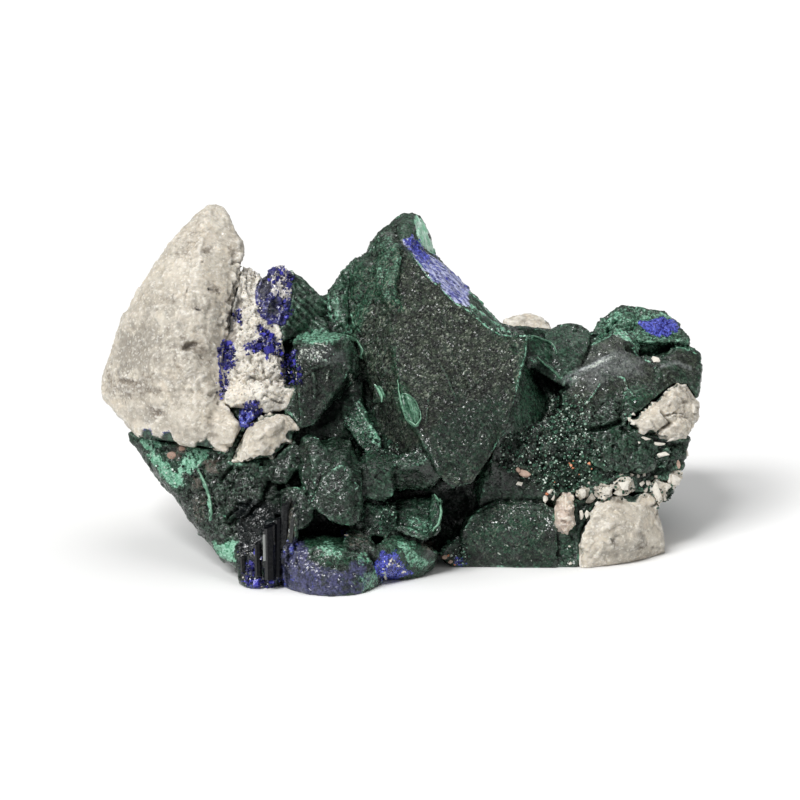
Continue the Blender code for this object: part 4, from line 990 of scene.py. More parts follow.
RIGHT_LOW = [(655, 445), (688, 440), (684, 468), (676, 488), (664, 500), (655, 480)]
SQUARE = [(470, 515), (500, 500), (520, 497), (548, 500), (556, 510), (556, 540), (548, 566), (465, 566), (455, 560), (462, 535)]
LEFT_MASS = [(130, 434), (225, 455), (280, 455), (262, 500), (258, 545), (236, 563), (215, 555), (180, 500)]
FOOT_VIOLET = [(281, 595), (283, 570), (290, 545), (300, 538), (310, 560), (340, 572), (362, 560), (372, 566), (366, 582), (358, 595), (320, 598)]
PRISM_ONE = [(237, 545), (262, 540), (262, 586), (250, 590), (238, 580)]
PRISM_TWO = [(262, 520), (281, 520), (282, 580), (262, 585)]


# Swellings and hollows inside the broad faces: outline, how far in the slope reaches, and height in mm.
PILLOWS = [
    # The tall crystal's left flank.
    ([(344, 272), (354, 262), (364, 256), (373, 262), (374, 276), (366, 290), (357, 304), (352, 298), (351, 284)], 7, 0.55),
    ([(377, 262), (386, 252), (396, 247), (403, 256), (399, 276), (397, 296), (389, 307), (380, 300), (375, 282)], 8, 0.7),
    ([(331, 290), (342, 281), (349, 290), (350, 312), (347, 331), (337, 322), (331, 308)], 7, 0.5),
    ([(357, 307), (368, 292), (377, 300), (375, 318), (366, 334), (355, 340), (351, 326)], 8, 0.5),
    ([(404, 216), (413, 213), (418, 224), (413, 240), (402, 243), (396, 236), (397, 224)], 6, 0.45),
    ([(378, 234), (390, 224), (396, 236), (388, 250), (374, 256), (366, 252)], 7, 0.45),
    ([(478, 426), (490, 420), (500, 430), (492, 448), (482, 462), (470, 467), (466, 452), (474, 440)], 3.5, 0.42),
    ([(440, 470), (452, 462), (466, 470), (470, 484), (456, 488), (442, 480)], 3.5, -0.3),
    ([(378, 316), (392, 312), (397, 330), (392, 352), (380, 352), (374, 334)], 9, 0.3),
    # The left mass.
    ([(200, 462), (211, 458), (222, 464), (220, 475), (206, 478)], 6, 0.55),
    ([(190, 478), (203, 476), (206, 488), (196, 494), (187, 488)], 5, 0.45),
    ([(211, 484), (226, 482), (231, 494), (222, 504), (210, 498)], 6, 0.5),
    ([(198, 500), (210, 498), (214, 512), (206, 522), (196, 514)], 5, 0.45),
    ([(232, 476), (247, 474), (252, 486), (246, 496), (234, 494)], 6, 0.4),
    ([(224, 506), (236, 502), (242, 512), (234, 522), (224, 518)], 5, 0.45),
    ([(216, 524), (228, 522), (232, 534), (222, 540), (214, 534)], 5, 0.4),
    ([(250, 462), (264, 458), (276, 466), (272, 480), (256, 482)], 6, 0.4),
    ([(250, 488), (262, 486), (264, 500), (254, 506), (246, 498)], 5, 0.4),
    # The flat-topped crystals and the blocks of the lower middle.
    ([(304, 366), (318, 364), (330, 370), (330, 384), (316, 396), (302, 390)], 8, 0.3),
    ([(307, 446), (328, 442), (350, 450), (352, 466), (334, 474), (312, 470)], 7, 0.3),
    ([(322, 486), (344, 478), (357, 486), (352, 510), (330, 514), (318, 504)], 8, 0.3),
    # The right side.
    ([(622, 392), (640, 388), (652, 394), (640, 410), (626, 414)], 5, 0.4),
    ([(590, 436), (612, 434), (628, 444), (620, 462), (598, 460)], 8, 0.35),
    ([(634, 446), (652, 450), (656, 464), (642, 474), (628, 466)], 7, 0.35),
    ([(664, 448), (682, 444), (680, 460), (668, 468)], 5, 0.35),
    ([(576, 424), (588, 418), (602, 422), (600, 432), (584, 434)], 4, 0.2),
    ([(478, 516), (500, 506), (526, 506), (540, 520), (520, 544), (486, 546)], 14, 0.35),
    ([(604, 322), (622, 310), (636, 314), (634, 328), (614, 334)], 6, 0.5),
    ([(640, 322), (660, 317), (677, 324), (676, 334), (652, 338)], 6, 0.35),
]
GROOVES = [
    ([(396, 247), (388, 262), (381, 283), (378, 292)], 5, 0.3),
    ([(397, 274), (394, 289), (397, 303)], 5, 0.3),
    ([(376, 262), (375, 280), (380, 302), (392, 316)], 3, -0.28),
    ([(440, 364), (447, 377), (452, 390), (456, 400)], 2.2, 0.14),
    ([(430, 393), (427, 409), (426, 422)], 2.2, 0.16),
    ([(454, 352), (462, 372), (470, 392)], 2.4, -0.14),
    ([(462, 396), (478, 382), (490, 372)], 2.0, 0.1),
    ([(480, 420), (489, 436), (486, 456)], 3, 0.22),
    ([(312, 369), (315, 384), (314, 398)], 3, 0.3),
    ([(302, 378), (312, 369), (326, 365)], 2.6, 0.25),
    ([(579, 426), (588, 430), (605, 427), (622, 421)], 4, -0.6),
    ([(584, 405), (592, 396), (600, 384)], 2.2, 0.22),
    ([(614, 376), (624, 379), (627, 390), (632, 396)], 2.2, 0.25),
    ([(570, 377), (582, 371), (602, 361), (611, 357)], 6, 0.2),
    ([(198, 470), (205, 483), (209, 496), (212, 510), (211, 520)], 3.5, 0.3),
    ([(221, 479), (229, 469), (235, 462)], 3, -0.5),
    ([(226, 518), (237, 509), (236, 504), (247, 505)], 3, -0.5),
    ([(238, 470), (232, 485), (222, 497)], 3, -0.3),
    ([(250, 500), (243, 512), (230, 524)], 3, -0.4),
    ([(355, 480), (360, 500), (358, 520)], 2.6, 0.2),
    ([(607, 330), (612, 326), (616, 322)], 3, -0.7),
    ([(629, 348), (644, 354), (656, 351), (672, 347)], 5, -0.7),
    ([(468, 520), (500, 505), (540, 508)], 3, 0.2),
]


def malachite():
    s = Surface("malachite_cluster", 0.36, fine=True)
    flat = np.maximum.reduce([s.area(FACE, 6), 0.9 * s.area(PLATE, 6), 0.6 * s.area(SQUARE, 6), 0.4 * s.area(LEFT_FACE, 8), s.area(SIDE_BLADE, 4)])
    prisms = np.maximum(s.area(PRISM_ONE, 3), s.area(PRISM_TWO, 3))
    flat = np.maximum(flat, prisms)
    lumpy = np.maximum.reduce([0.7 * s.area(DRUSE_FIELD, 8), 0.62 * s.area(LEFT_MASS, 8), 0.15 * s.area(CREST, 5), 0.7 * s.area(LOWER_PLATE, 6), s.area(RIGHT_LOW, 4), 0.7 * s.area(PLATE_LOW, 6)])
    s.calm(np.maximum(s.area([(376, 300), (400, 296), (424, 330), (492, 470), (470, 492), (440, 486), (404, 440), (384, 400), (376, 340)], 8), s.area([(612, 340), (660, 350), (690, 350), (690, 392), (656, 400), (620, 400), (604, 372)], 8)), 14)
    p = s.v
    seen = s.seen
    print("malachite corners", len(p), "faces", len(s.q), len(s.t))

    # How rough each region is: broad crystal faces are flat and finely granular, the crusts are lumpy.
    back = 1 - smooth(seen, 0.0, 0.4)
    scaly = s.area([(150, 450), (208, 462), (246, 466), (262, 480), (250, 530), (232, 545), (206, 540), (170, 490)], 10)
    flank = s.area([(326, 292), (346, 266), (380, 234), (404, 243), (398, 290), (402, 340), (398, 400), (384, 424), (366, 400), (352, 350), (330, 326)], 8)
    rough = np.maximum.reduce([lumpy, 0.3 * back, 0.42 * flank, np.full(len(p), 0.16)]) * (1 - 0.9 * prisms)
    amount = (0.12 * (1 - 0.6 * flat) + 0.45 * back) * layers(p, 3.5, 3, 3)
    _, _, value, plane = cells(p, 2.6, 5)
    amount += (0.18 + 0.34 * back + 0.26 * flank) * (1 - 0.9 * flat) * plane + 0.1 * np.maximum(back, flank) * (value - 0.5)
    bent = p + 0.22 * np.stack([noise(p, 0.8, 70 + a) for a in (0, 1, 2)], axis=1)
    _, _, value, plane = cells(bent, 1.1, 6)
    amount += 0.26 * rough * (1 - 0.7 * flat) * (value - 0.5) + (0.04 + 0.3 * rough) * (1 - 0.7 * flat) * plane
    _, _, value, plane = cells(bent, 0.55, 7)
    amount += 0.14 * rough * (1 - 0.6 * flat) * (value - 0.5) + (0.015 + 0.16 * rough) * (1 - 0.6 * flat) * plane
    amount += (0.012 + 0.05 * rough) * layers(p, 0.5, 2, 9) - 0.2 * rough * smooth(noise(p, 0.8, 10), 0.35, 0.75) * (1 - 0.5 * flat)
    amount += (0.03 + 0.2 * rough) * (1 - flat) * (creases(p, 1.6, 3, 11) - 0.6)
    # Cracks between flat scales on the left mass.
    first, second, value, plane = cells(p * np.array([1.0, 1.0, 0.8]) + 0.3 * np.stack([noise(p, 0.9, 74 + a) for a in (0, 1, 2)], axis=1), 1.5, 8)
    amount += scaly * (0.1 * (value - 0.5) + 0.16 * plane - 0.13 * smooth(second - first, 0.1, 0.0))
    chips = smooth(s.outer, 0.8, 0.0) * smooth(noise(p, 1.3, 12), 0.0, 0.6)
    amount -= 0.22 * chips + 0.05 * smooth(s.outer, 0.3, 0.0)
    amount += 0.15 * smooth(s.inner, 0.5, 0.0) * (0.4 + layers(p, 1.0, 2, 13))

    for points, edge, height in PILLOWS:
        amount += height * s.pillow(points, edge)
    for points, width, height in GROOVES:
        amount += height * s.line(points, width * 1.6, 0.9)
    # Fine steps that follow the growth direction on the blue facet and the plate's wing.
    k = s.area(BLUE_STREAK, 4) + s.area(TOP_FACET, 4)
    along = (s.u - 404) * 0.75 - (s.w - 242) * 0.66
    amount += 0.13 * k * np.sin(along * 1.6 + 2.5 * noise(p, 1.5, 41))
    wing = s.area([(655, 352), (676, 346), (701, 352), (701, 386), (670, 392), (650, 380)], 5)
    ring = np.hypot(s.u - 676, (s.w - 378) * 1.2)
    amount += 0.05 * wing * np.sin(ring * 0.8 + 4.0 * noise(p, 2.0, 42))
    column = s.area([(281, 498), (300, 492), (300, 585), (281, 590)], 3)
    upright = p * np.array([1.0, 1.0, 0.09])
    ribs = layers(upright, 0.75, 3, 43, 0.6)
    amount += 0.2 * np.maximum(prisms, column) * ribs
    amount += 0.62 * s.area(CREST, 4) * (creases(p * np.array([0.5, 1.0, 1.25]) + 0.3 * p[:, :1] * np.array([[0, 0, 1.0]]), 2.0, 2, 48) - 0.62)
    lines = s.area(BACK_BLADE, 5)
    amount += 0.1 * lines * np.sin((s.u * 0.7 - s.w * 0.7) * 0.9 + 3 * noise(p, 2.0, 46))
    s.push(amount)

    crest = s.hollow(0)
    wide = s.hollow(6)
    bright = np.clip(-crest / 0.038, 0, 1)
    sunk = np.clip(crest / 0.038, 0, 1)
    bright_wide = np.clip(-wide / 0.017, 0, 1)
    sunk_wide = np.clip(wide / 0.017, 0, 1)

    names = ("ice", "painted_sheen", "dim_tone_and_shade", "black", "grey", "green", "mint", "violet", "blue", "streak", "pale_and_glint", "earth", "deep_shade", "grain", "gloss", "crest", "pit")
    m = {k: np.zeros(len(p)) for k in names}

    def lay(mask, values, strength=1.0):
        m[mask] = np.maximum(m[mask], strength * values)

    def lift(mask, values, strength=1.0):
        m[mask] = m[mask] * (1 - strength * values)

    # Painted highlight on crests and painted shade in hollows, from how the surface bends.
    m["crest"] = np.clip(0.75 * bright + 0.4 * bright_wide - 0.25, 0, 1) * (1 - 0.45 * flat)
    m["pit"] = np.clip(0.8 * sunk + 0.5 * sunk_wide - 0.2, 0, 1)
    # The tall crystal's two faces meet in a soft line.
    seam = s.line([(376, 286), (388, 314), (393, 340), (398, 376), (404, 400), (424, 436), (440, 476)], 14, 1.0)
    m["crest"] *= 1 - 0.8 * seam
    m["pit"] *= 1 - 0.7 * seam

    # Base tones.
    m["grain"][:] = 0.4 + 0.25 * noise(p, 4.0, 50)
    m["grey"][:] = 0.14 + 0.3 * noise(p, 6.0, 51)
    lay("grey", s.area(FACE, 10), 1.0)
    lay("grey", s.area(LEFT_FACE, 12), 0.85)
    lay("grey", s.area(PEAK, 8), 0.75)
    lay("grey", s.area(PLATE, 8), 1.0)
    lay("grey", s.area(PLATE_LOW, 8), 0.7)
    lay("grey", s.area(LOWER_PLATE, 8), 0.5)
    lay("grey", s.area(LEFT_MASS, 8), 0.6)
    lay("grey", s.area(SQUARE, 8), 0.3)
    lay("grain", s.area(FACE, 8), 1.0)
    lay("grain", s.area(LEFT_FACE, 8), 0.95)
    lay("grain", s.area(SQUARE, 8), 0.7)
    lay("grain", s.area(PLATE, 8), 0.6)
    lay("grain", s.area(FLAT_FRONT, 6), 0.85)
    lay("grain", s.area(DRUSE_FIELD, 6), 1.0)
    lay("grain", s.area([(545, 397), (560, 388), (590, 396), (582, 449), (548, 440)], 8), 1.0)
    m["green"][:] = smooth(noise(p, 5.0, 52), 0.15, 0.7) * 0.6 * (0.5 + 0.5 * back)
    # Painted shade as well as darker tone on the display side, away from the broad faces.
    m["dim_tone_and_shade"][:] = 0.58 * (1 - back) * (1 - np.maximum.reduce([s.area(points, 10) for points in (FACE, LEFT_FACE, PLATE, PEAK, CREST, BLUE_STREAK, TOP_FACET, BACK_BLADE)] + [flank]))

    # Green zones.
    for points, strength in (
        (CREST, 0.9), (SIDE_BLADE, 0.75), (STRIP, 0.8), (SCOOP, 0.8), (FLAT_TOP, 0.85), (FLAT_SIDE, 0.6),
        (RIGHT_MIDDLE, 0.7), (GREEN_BAND, 0.8), (TOP_FACET, 0.6), (LOWER_PLATE, 0.55), (RIGHT_LOW, 0.6),
        ([(330, 300), (346, 304), (349, 322), (345, 334), (332, 322)], 0.8),
        ([(383, 245), (398, 244), (400, 262), (398, 290), (403, 310), (390, 305), (376, 300), (366, 318), (352, 345), (347, 335), (352, 300), (365, 275)], 0.95),
        ([(328, 292), (346, 272), (362, 262), (376, 262), (372, 290), (352, 300), (346, 333), (330, 320)], 0.85),
        ([(402, 216), (412, 213), (416, 226), (406, 240), (398, 236)], 0.6),
        ([(478, 426), (490, 420), (500, 430), (492, 448), (482, 462)], 0.45),
        ([(341, 395), (352, 392), (366, 404), (374, 418), (381, 442), (366, 446), (352, 436), (344, 416)], 0.95),
        (BACK_BLADE, 0.3), ([(297, 537), (330, 534), (346, 545), (350, 562), (338, 570), (312, 566), (300, 552)], 0.75),
        ([(381, 536), (398, 534), (420, 545), (434, 560), (428, 574), (412, 577), (398, 560), (384, 548)], 0.95),
        ([(358, 572), (378, 568), (380, 590), (360, 594)], 0.85),
        ([(186, 446), (208, 440), (213, 452), (200, 468), (180, 476)], 0.9),
        ([(134, 436), (160, 442), (186, 476), (184, 492), (170, 488), (146, 455)], 0.9),
        ([(208, 542), (240, 540), (238, 565), (218, 558)], 0.9),
        ([(238, 455), (262, 452), (276, 462), (270, 478), (250, 480)], 0.6),
        ([(556, 535), (578, 532), (580, 567), (556, 567)], 0.55),
        ([(620, 390), (645, 385), (652, 395), (636, 415), (622, 408)], 0.7),
        ([(363, 452), (397, 460), (396, 502), (372, 500)], 0.45),
        ([(366, 504), (391, 504), (396, 522), (372, 530)], 0.5),
        ([(398, 376), (406, 396), (414, 412), (414, 427), (404, 420), (398, 398)], 0.85),
        ([(500, 432), (520, 420), (530, 440), (510, 456)], 0.6),
        ([(470, 515), (500, 500), (530, 500), (548, 515), (540, 550), (500, 560), (470, 548)], 0.55),
        ([(430, 430), (450, 410), (480, 400), (508, 398), (500, 440), (480, 470), (456, 482), (440, 470)], 0.6),
    ):
        lay("green", s.area(points, 10, 5), strength)
    lift("grey", np.clip(m["green"], 0, 1), 0.75)
    lift("dim_tone_and_shade", np.clip(m["green"], 0, 1), 0.7)

    # Mint rims on the outer edges, and mint crusts.
    rim = smooth(s.outer, 0.5, 0.0) * smooth(noise(p, 1.8, 22), -0.2, 0.45) * (1 - 0.9 * seam)
    lay("mint", rim * (0.35 + 0.35 * bright), 0.9)
    lay("green", smooth(s.outer, 1.2, 0.1) * smooth(noise(p, 2.4, 23), -0.4, 0.3), 0.6)
    for points, strength in (
        (MINT_FACET, 0.8),
        ([(142, 438), (153, 443), (160, 457), (173, 471), (184, 479), (181, 488), (173, 488), (164, 478), (155, 466), (147, 453), (141, 443)], 0.9),
        ([(152, 439), (162, 441), (160, 450), (152, 449)], 0.8),
        ([(181, 459), (188, 453), (198, 446), (205, 442), (211, 444), (211, 454), (204, 459), (198, 465), (195, 470), (183, 474), (178, 474)], 0.9),
        ([(211, 544), (238, 541), (233, 551), (237, 563), (221, 558)], 0.9),
        ([(366, 424), (374, 424), (383, 442), (372, 446)], 0.5),
        ([(356, 398), (362, 404), (368, 416), (362, 414)], 0.4),
        ([(402, 514), (420, 518), (436, 522), (436, 530), (424, 536), (408, 530)], 0.34),
        ([(290, 341), (300, 332), (322, 329), (338, 331), (348, 334), (332, 343), (306, 344)], 0.5),
        ([(395, 536), (410, 545), (424, 556), (432, 562), (426, 570), (412, 566), (402, 552)], 0.55),
        ([(378, 262), (388, 258), (392, 272), (386, 290), (379, 288)], 0.28),
        ([(332, 300), (340, 304), (342, 320), (336, 320)], 0.42),
        ([(378, 240), (390, 236), (398, 246), (392, 262), (381, 262)], 0.26),
        ([(352, 300), (362, 290), (372, 296), (366, 318), (354, 326)], 0.2),
        ([(318, 547), (332, 541), (346, 549), (338, 558), (322, 556)], 0.48),
        ([(352, 556), (366, 552), (374, 560), (362, 566)], 0.5),
        ([(362, 574), (376, 570), (378, 586), (364, 590)], 0.5),
        ([(652, 312), (668, 312), (676, 320), (664, 318)], 0.5),
        ([(600, 322), (614, 312), (622, 312), (612, 326)], 0.55),
        ([(612, 332), (626, 330), (634, 344), (624, 342)], 0.6),
        (CREST, 0.32),
    ):
        lay("mint", s.area(points, 6, 4), strength)
    for points, width, strength in (
        ([(527, 337), (526, 351), (520, 371), (514, 403)], 1.8, 0.95),
        ([(500, 335), (512, 336), (527, 336)], 2.0, 0.9),
        ([(412, 253), (427, 276), (441, 289), (455, 303), (470, 312), (486, 326), (500, 335)], 2.0, 0.85),
        ([(467, 290), (480, 303), (498, 321)], 2.5, 0.7),
        ([(470, 305), (485, 315), (505, 330)], 3.0, 0.7),
        ([(347, 335), (356, 340), (362, 350), (361, 358)], 2.0, 0.75),
        ([(429, 394), (427, 409), (426, 421)], 1.3, 0.45),
        ([(440, 365), (447, 377), (452, 390), (456, 399)], 1.2, 0.42),
        ([(397, 275), (394, 289), (396, 303)], 3.0, 0.3),
        ([(396, 247), (386, 262), (380, 284)], 4.0, 0.28),
        ([(328, 290), (329, 304), (331, 318), (346, 333)], 3.0, 0.45),
        ([(351, 312), (354, 323), (361, 332)], 2.6, 0.6),
        ([(528, 335), (541, 338), (554, 345), (557, 356)], 1.6, 0.55),
        ([(537, 357), (549, 366), (561, 378)], 1.6, 0.55),
        ([(198, 470), (205, 483), (209, 496), (212, 510), (211, 520)], 3.4, 0.7),
        ([(584, 405), (592, 396), (600, 384)], 1.5, 0.75),
        ([(614, 376), (624, 379), (627, 390), (632, 396)], 1.6, 0.8),
        ([(622, 421), (612, 424), (603, 428)], 1.6, 0.7),
        ([(634, 346), (646, 360), (654, 364)], 3.0, 0.55),
        ([(590, 346), (606, 337), (622, 330)], 3.0, 0.5),
        ([(436, 497), (441, 510), (438, 526)], 2.4, 0.85),
        ([(353, 481), (357, 486), (354, 491)], 2.2, 0.4),
        ([(391, 462), (412, 454), (430, 445)], 1.8, 0.5),
        ([(640, 318), (655, 314), (668, 318)], 3.0, 0.55),
        ([(672, 349), (682, 347), (697, 354)], 2.4, 0.6),
    ):
        lay("mint", s.line(points, width, 1.2), strength)

    # Whitish streaks and frost, and painted glints and highlights along edges and on the plate.
    for points, width, strength in (
        ([(314, 342), (319, 344), (324, 345)], 2.0, 0.9),
        ([(415, 258), (427, 275), (433, 282)], 1.6, 0.55),
        ([(576, 436), (574, 444), (573, 448)], 2.4, 0.9),
        # Painted highlight down the prism's edge.
        ([(263, 540), (264, 552), (263.5, 566)], 3.2, 0.95),
        ([(384, 572), (386, 580), (383, 584)], 3.4, 0.95),
        ([(379, 562), (386, 566), (392, 565)], 2.2, 0.6),
        ([(392, 558), (398, 566), (404, 568)], 2.2, 0.55),
        ([(572, 556), (568, 563), (566, 566)], 2.0, 0.5),
        ([(328, 371), (327, 379), (324, 385)], 1.8, 0.7),
        ([(351, 376), (354, 384), (352, 391)], 5.0, 0.45),
        ([(552, 405), (548, 412), (544, 420)], 4.0, 0.42),
        ([(572, 420), (570, 428)], 3.0, 0.5),
    ):
        lay("pale_and_glint", s.line(points, width, 0.8), strength)
    strands = 0.35 + 0.65 * smooth(noise(np.stack([0.18 * (s.u + s.w * 0.1), 1.3 * (s.w + 0.45 * s.u), 0 * s.u], axis=1) / 4.0, 1.0, 49), -0.3, 0.5)
    # Painted sheen: a pale grey highlight streak and glow on the plate, a line on its wing, and a faint one on the
    # flat-topped crystal's front.
    lay("painted_sheen", s.line([(566, 380), (582, 372), (602, 362), (616, 356)], 10.0, 2.0) * strands, 1.0)
    lay("painted_sheen", s.area([(575, 372), (600, 356), (622, 352), (640, 362), (640, 376), (610, 378), (590, 386)], 14, 5), 0.3)
    lay("painted_sheen", s.line([(662, 366), (676, 362), (690, 368)], 6.0, 2.0), 0.4)
    lay("painted_sheen", s.area([(300, 345), (322, 348), (344, 352), (344, 362), (322, 362), (302, 358)], 8, 5), 0.16)
    lay("pale_and_glint", s.area([(286, 268), (296, 270), (293, 282), (286, 290)], 5, 3), 0.5)
    lay("pale_and_glint", s.area([(300, 345), (318, 348), (330, 352), (318, 362), (302, 360)], 8, 4), 0.32)
    lay("pale_and_glint", s.line([(572, 379), (588, 369), (604, 361), (615, 357)], 5.0, 1.4) * strands, 0.6)
    # Pale strokes on the square block, the druse field and the patch beside it: painted glints.
    slanted = np.stack([(s.u + s.w) * 0.05, (s.w - s.u) * 0.3, 0 * s.u], axis=1)
    strokes = smooth(noise(slanted, 1.0, 77), 0.25, 0.6)
    lay("pale_and_glint", s.area(SQUARE, 10) * strokes, 0.34)
    lay("pale_and_glint", s.area(DRUSE_FIELD, 10) * strokes, 0.3)
    lay("pale_and_glint", s.area([(552, 392), (596, 392), (590, 432), (548, 438)], 10) * strokes, 0.42)
    blade = s.area([(341, 395), (352, 392), (366, 404), (374, 418), (381, 442), (366, 446), (352, 436), (344, 416)], 6, 3)
    lift("grain", blade, 0.9)
    lift("crest", blade, 0.6)
    lay("ice", s.line([(352, 398), (360, 410), (368, 424), (376, 440)], 4.0, 1.5), 0.42)
    # Painted shade as well as darker tone over these fronts, the cup, the druse field and the low faces.
    lay("dim_tone_and_shade", s.area(FLAT_FRONT, 8, 5), 0.95)
    lay("dim_tone_and_shade", s.area([(386, 500), (410, 500), (432, 500), (426, 514), (404, 530), (386, 530)], 8, 4), 0.9)
    lay("dim_tone_and_shade", s.area([(300, 440), (356, 440), (360, 470), (356, 522), (320, 522), (300, 480)], 12, 6), 0.35)
    lay("dim_tone_and_shade", s.area([(500, 432), (530, 424), (548, 440), (546, 474), (520, 486), (498, 470)], 10, 6), 0.9)
    # Painted shade: dark patches among the druse field's small crystals.
    dark = s.area(DRUSE_FIELD, 8, 4) * smooth(noise(p, 1.3, 68), 0.0, 0.4)
    lay("deep_shade", dark, 0.7)

    # Azurite: strong blue, the pale streak, and the violet-grey crust of the foot.
    for points, strength in (
        ([(404, 241), (412, 237), (418, 241), (423, 250), (431, 256), (428, 264), (417, 257)], 0.9),
        ([(638, 324), (655, 318), (674, 319), (681, 326), (678, 332), (657, 338), (645, 331)], 0.95),
        ([(374, 562), (382, 553), (396, 552), (402, 562), (414, 573), (404, 577), (394, 581), (384, 586), (376, 574)], 0.66),
        ([(286, 540), (292, 536), (298, 545), (290, 556)], 0.6),
        ([(240, 560), (262, 562), (262, 590), (246, 590)], 0.5),
        ([(264, 568), (282, 566), (282, 582), (266, 582)], 0.5),
        ([(143, 432), (151, 433), (150, 439), (144, 438)], 0.7),
        ([(162, 432), (170, 434), (169, 442), (163, 440)], 0.7),
        ([(456, 556), (470, 560), (468, 568), (454, 567)], 0.55),
        ([(340, 530), (346, 529), (346, 536), (341, 536)], 0.7),
        ([(240, 404), (258, 401), (264, 408), (256, 420), (247, 430), (240, 424)], 0.95),
    ):
        lay("blue", s.area(points, 5, 3), strength)
    streaks = 0.5 + 0.5 * np.sin(along * 0.9 + 3.0 * noise(p, 2.5, 45))
    blue_streak = s.area(BLUE_STREAK, 5, 3)
    lay("streak", blue_streak * (0.65 + 0.3 * streaks))
    lay("blue", blue_streak * (0.3 + 0.2 * smooth(s.u, 455, 415)) * (1 - streaks))
    lay("dim_tone_and_shade", s.area([(281, 596), (283, 560), (300, 552), (330, 566), (366, 560), (372, 570), (362, 598), (320, 600)], 8, 4), 0.6)
    foot = np.maximum(s.area(FOOT_VIOLET, 8, 4), s.area([(300, 560), (320, 566), (345, 570), (356, 560), (350, 590), (300, 590)], 8, 4))
    lay("violet", foot * (0.56 + 0.5 * noise(p, 2.4, 47)))
    lay("violet", s.area([(281, 548), (300, 556), (310, 590), (283, 592)], 8, 4), 0.85)
    side = s.area([(281, 546), (294, 537), (304, 544), (312, 562), (322, 574), (322, 600), (281, 598)], 6, 3)
    lay("violet", side, 0.95)
    lay("blue", side * smooth(noise(p, 1.1, 67), 0.1, 0.6), 0.5)
    lift("green", side, 0.8)
    lay("violet", s.area([(238, 570), (282, 574), (282, 592), (246, 592)], 8, 4), 0.5)
    lift("green", foot, 0.4)
    lay("grey", foot, 0.9)
    lift("mint", prisms, 0.9)
    lift("green", prisms, 0.9)
    lift("grain", prisms, 0.8)
    lay("black", np.maximum(prisms, 0.7 * column * smooth(ribs, 0.2, -0.2)) * smooth(s.w, 592, 575), 0.9)
    lay("black", s.area([(236, 500), (262, 500), (282, 508), (282, 560), (250, 560), (238, 540)], 6, 3), 0.8)
    # Painted shade as well as darker tone over the cave, the shaded flank, the cup and the lower faces.
    lay("dim_tone_and_shade", s.area([(262, 345), (284, 345), (288, 360), (345, 372), (345, 400), (318, 432), (296, 432), (284, 400)], 10, 5), 0.75)
    lay("dim_tone_and_shade", s.area([(398, 430), (430, 398), (470, 388), (508, 380), (512, 420), (490, 470), (468, 490), (430, 486)], 22, 8), 0.65)
    lay("dim_tone_and_shade", s.area([(384, 516), (402, 502), (424, 500), (420, 516), (408, 530), (390, 530)], 8, 4), 0.7)
    lay("dim_tone_and_shade", s.area(DRUSE_FIELD, 12, 6), 0.6)
    lay("dim_tone_and_shade", s.area([(560, 395), (590, 396), (640, 412), (630, 424), (588, 432), (552, 425)], 10, 5), 0.4)
    lay("dim_tone_and_shade", s.area([(352, 352), (372, 372), (396, 402), (408, 440), (404, 456), (376, 424), (345, 392)], 10, 5), 0.75)
    lay("ice", s.area(MINT_FACET, 4, 2), 0.85)
    lay("dim_tone_and_shade", s.area([(430, 430), (446, 408), (476, 396), (508, 392), (500, 440), (484, 468), (456, 484), (440, 476)], 18, 6), 1.0)
    lay("dim_tone_and_shade", s.area([(460, 560), (478, 520), (500, 512), (552, 560), (545, 568), (470, 568)], 16, 6), 0.35)
    lay("dim_tone_and_shade", s.area([(236, 462), (282, 462), (300, 500), (286, 540), (240, 540), (246, 500)], 12, 5), 0.6)

    # Earthy bits.
    for points, strength in (
        ([(345, 532), (352, 527), (366, 532), (372, 545), (360, 549), (348, 545)], 0.3),
        ([(420, 541), (432, 540), (438, 546), (432, 556), (424, 550)], 0.45),
        ([(167, 452), (180, 450), (182, 460), (170, 460)], 0.75),
        ([(176, 446), (186, 446), (186, 452), (178, 453)], 0.75),
        ([(204, 460), (218, 460), (219, 474), (205, 475)], 0.6),
        ([(192, 475), (204, 477), (204, 490), (193, 490)], 0.5),
        ([(284, 505), (292, 500), (296, 520), (294, 545), (286, 540)], 0.5),
        ([(190, 500), (206, 492), (208, 520), (196, 524)], 0.4),
    ):
        lay("earth", s.area(points, 6, 3), strength)

    # Deep shade in cracks, the hollow and the cave.
    for points, strength in (
        (HOLLOW, 0.8),
        ([(437, 490), (462, 488), (472, 496), (468, 512), (446, 530), (437, 520)], 0.8),
        ([(348, 378), (352, 396), (335, 424), (312, 430), (330, 404)], 0.85),
        ([(366, 512), (390, 518), (390, 532), (368, 534)], 0.4),
        ([(298, 505), (330, 526), (352, 530), (340, 538), (305, 536)], 0.6),
        ([(262, 478), (282, 470), (286, 500), (276, 520), (262, 520), (256, 500)], 0.55),
        ([(236, 508), (262, 500), (262, 540), (244, 540)], 0.45),
        ([(574, 496), (604, 496), (590, 530), (576, 548)], 0.5),
    ):
        lay("deep_shade", s.area(points, 8, 4), strength)
    for points, width, strength in (
        ([(579, 426), (588, 430), (605, 427), (622, 421)], 3.0, 0.8),
        ([(221, 479), (229, 469), (235, 462)], 2.2, 0.8),
        ([(226, 518), (237, 509), (236, 504), (247, 505)], 2.2, 0.8),
        ([(629, 348), (644, 354), (656, 351), (672, 347)], 4.0, 0.7),
        ([(607, 330), (612, 326), (616, 322)], 3.0, 0.7),
        ([(276, 349), (290, 347), (300, 345)], 3.5, 0.7),
    ):
        lay("deep_shade", s.line(points, width, 1.0), strength)
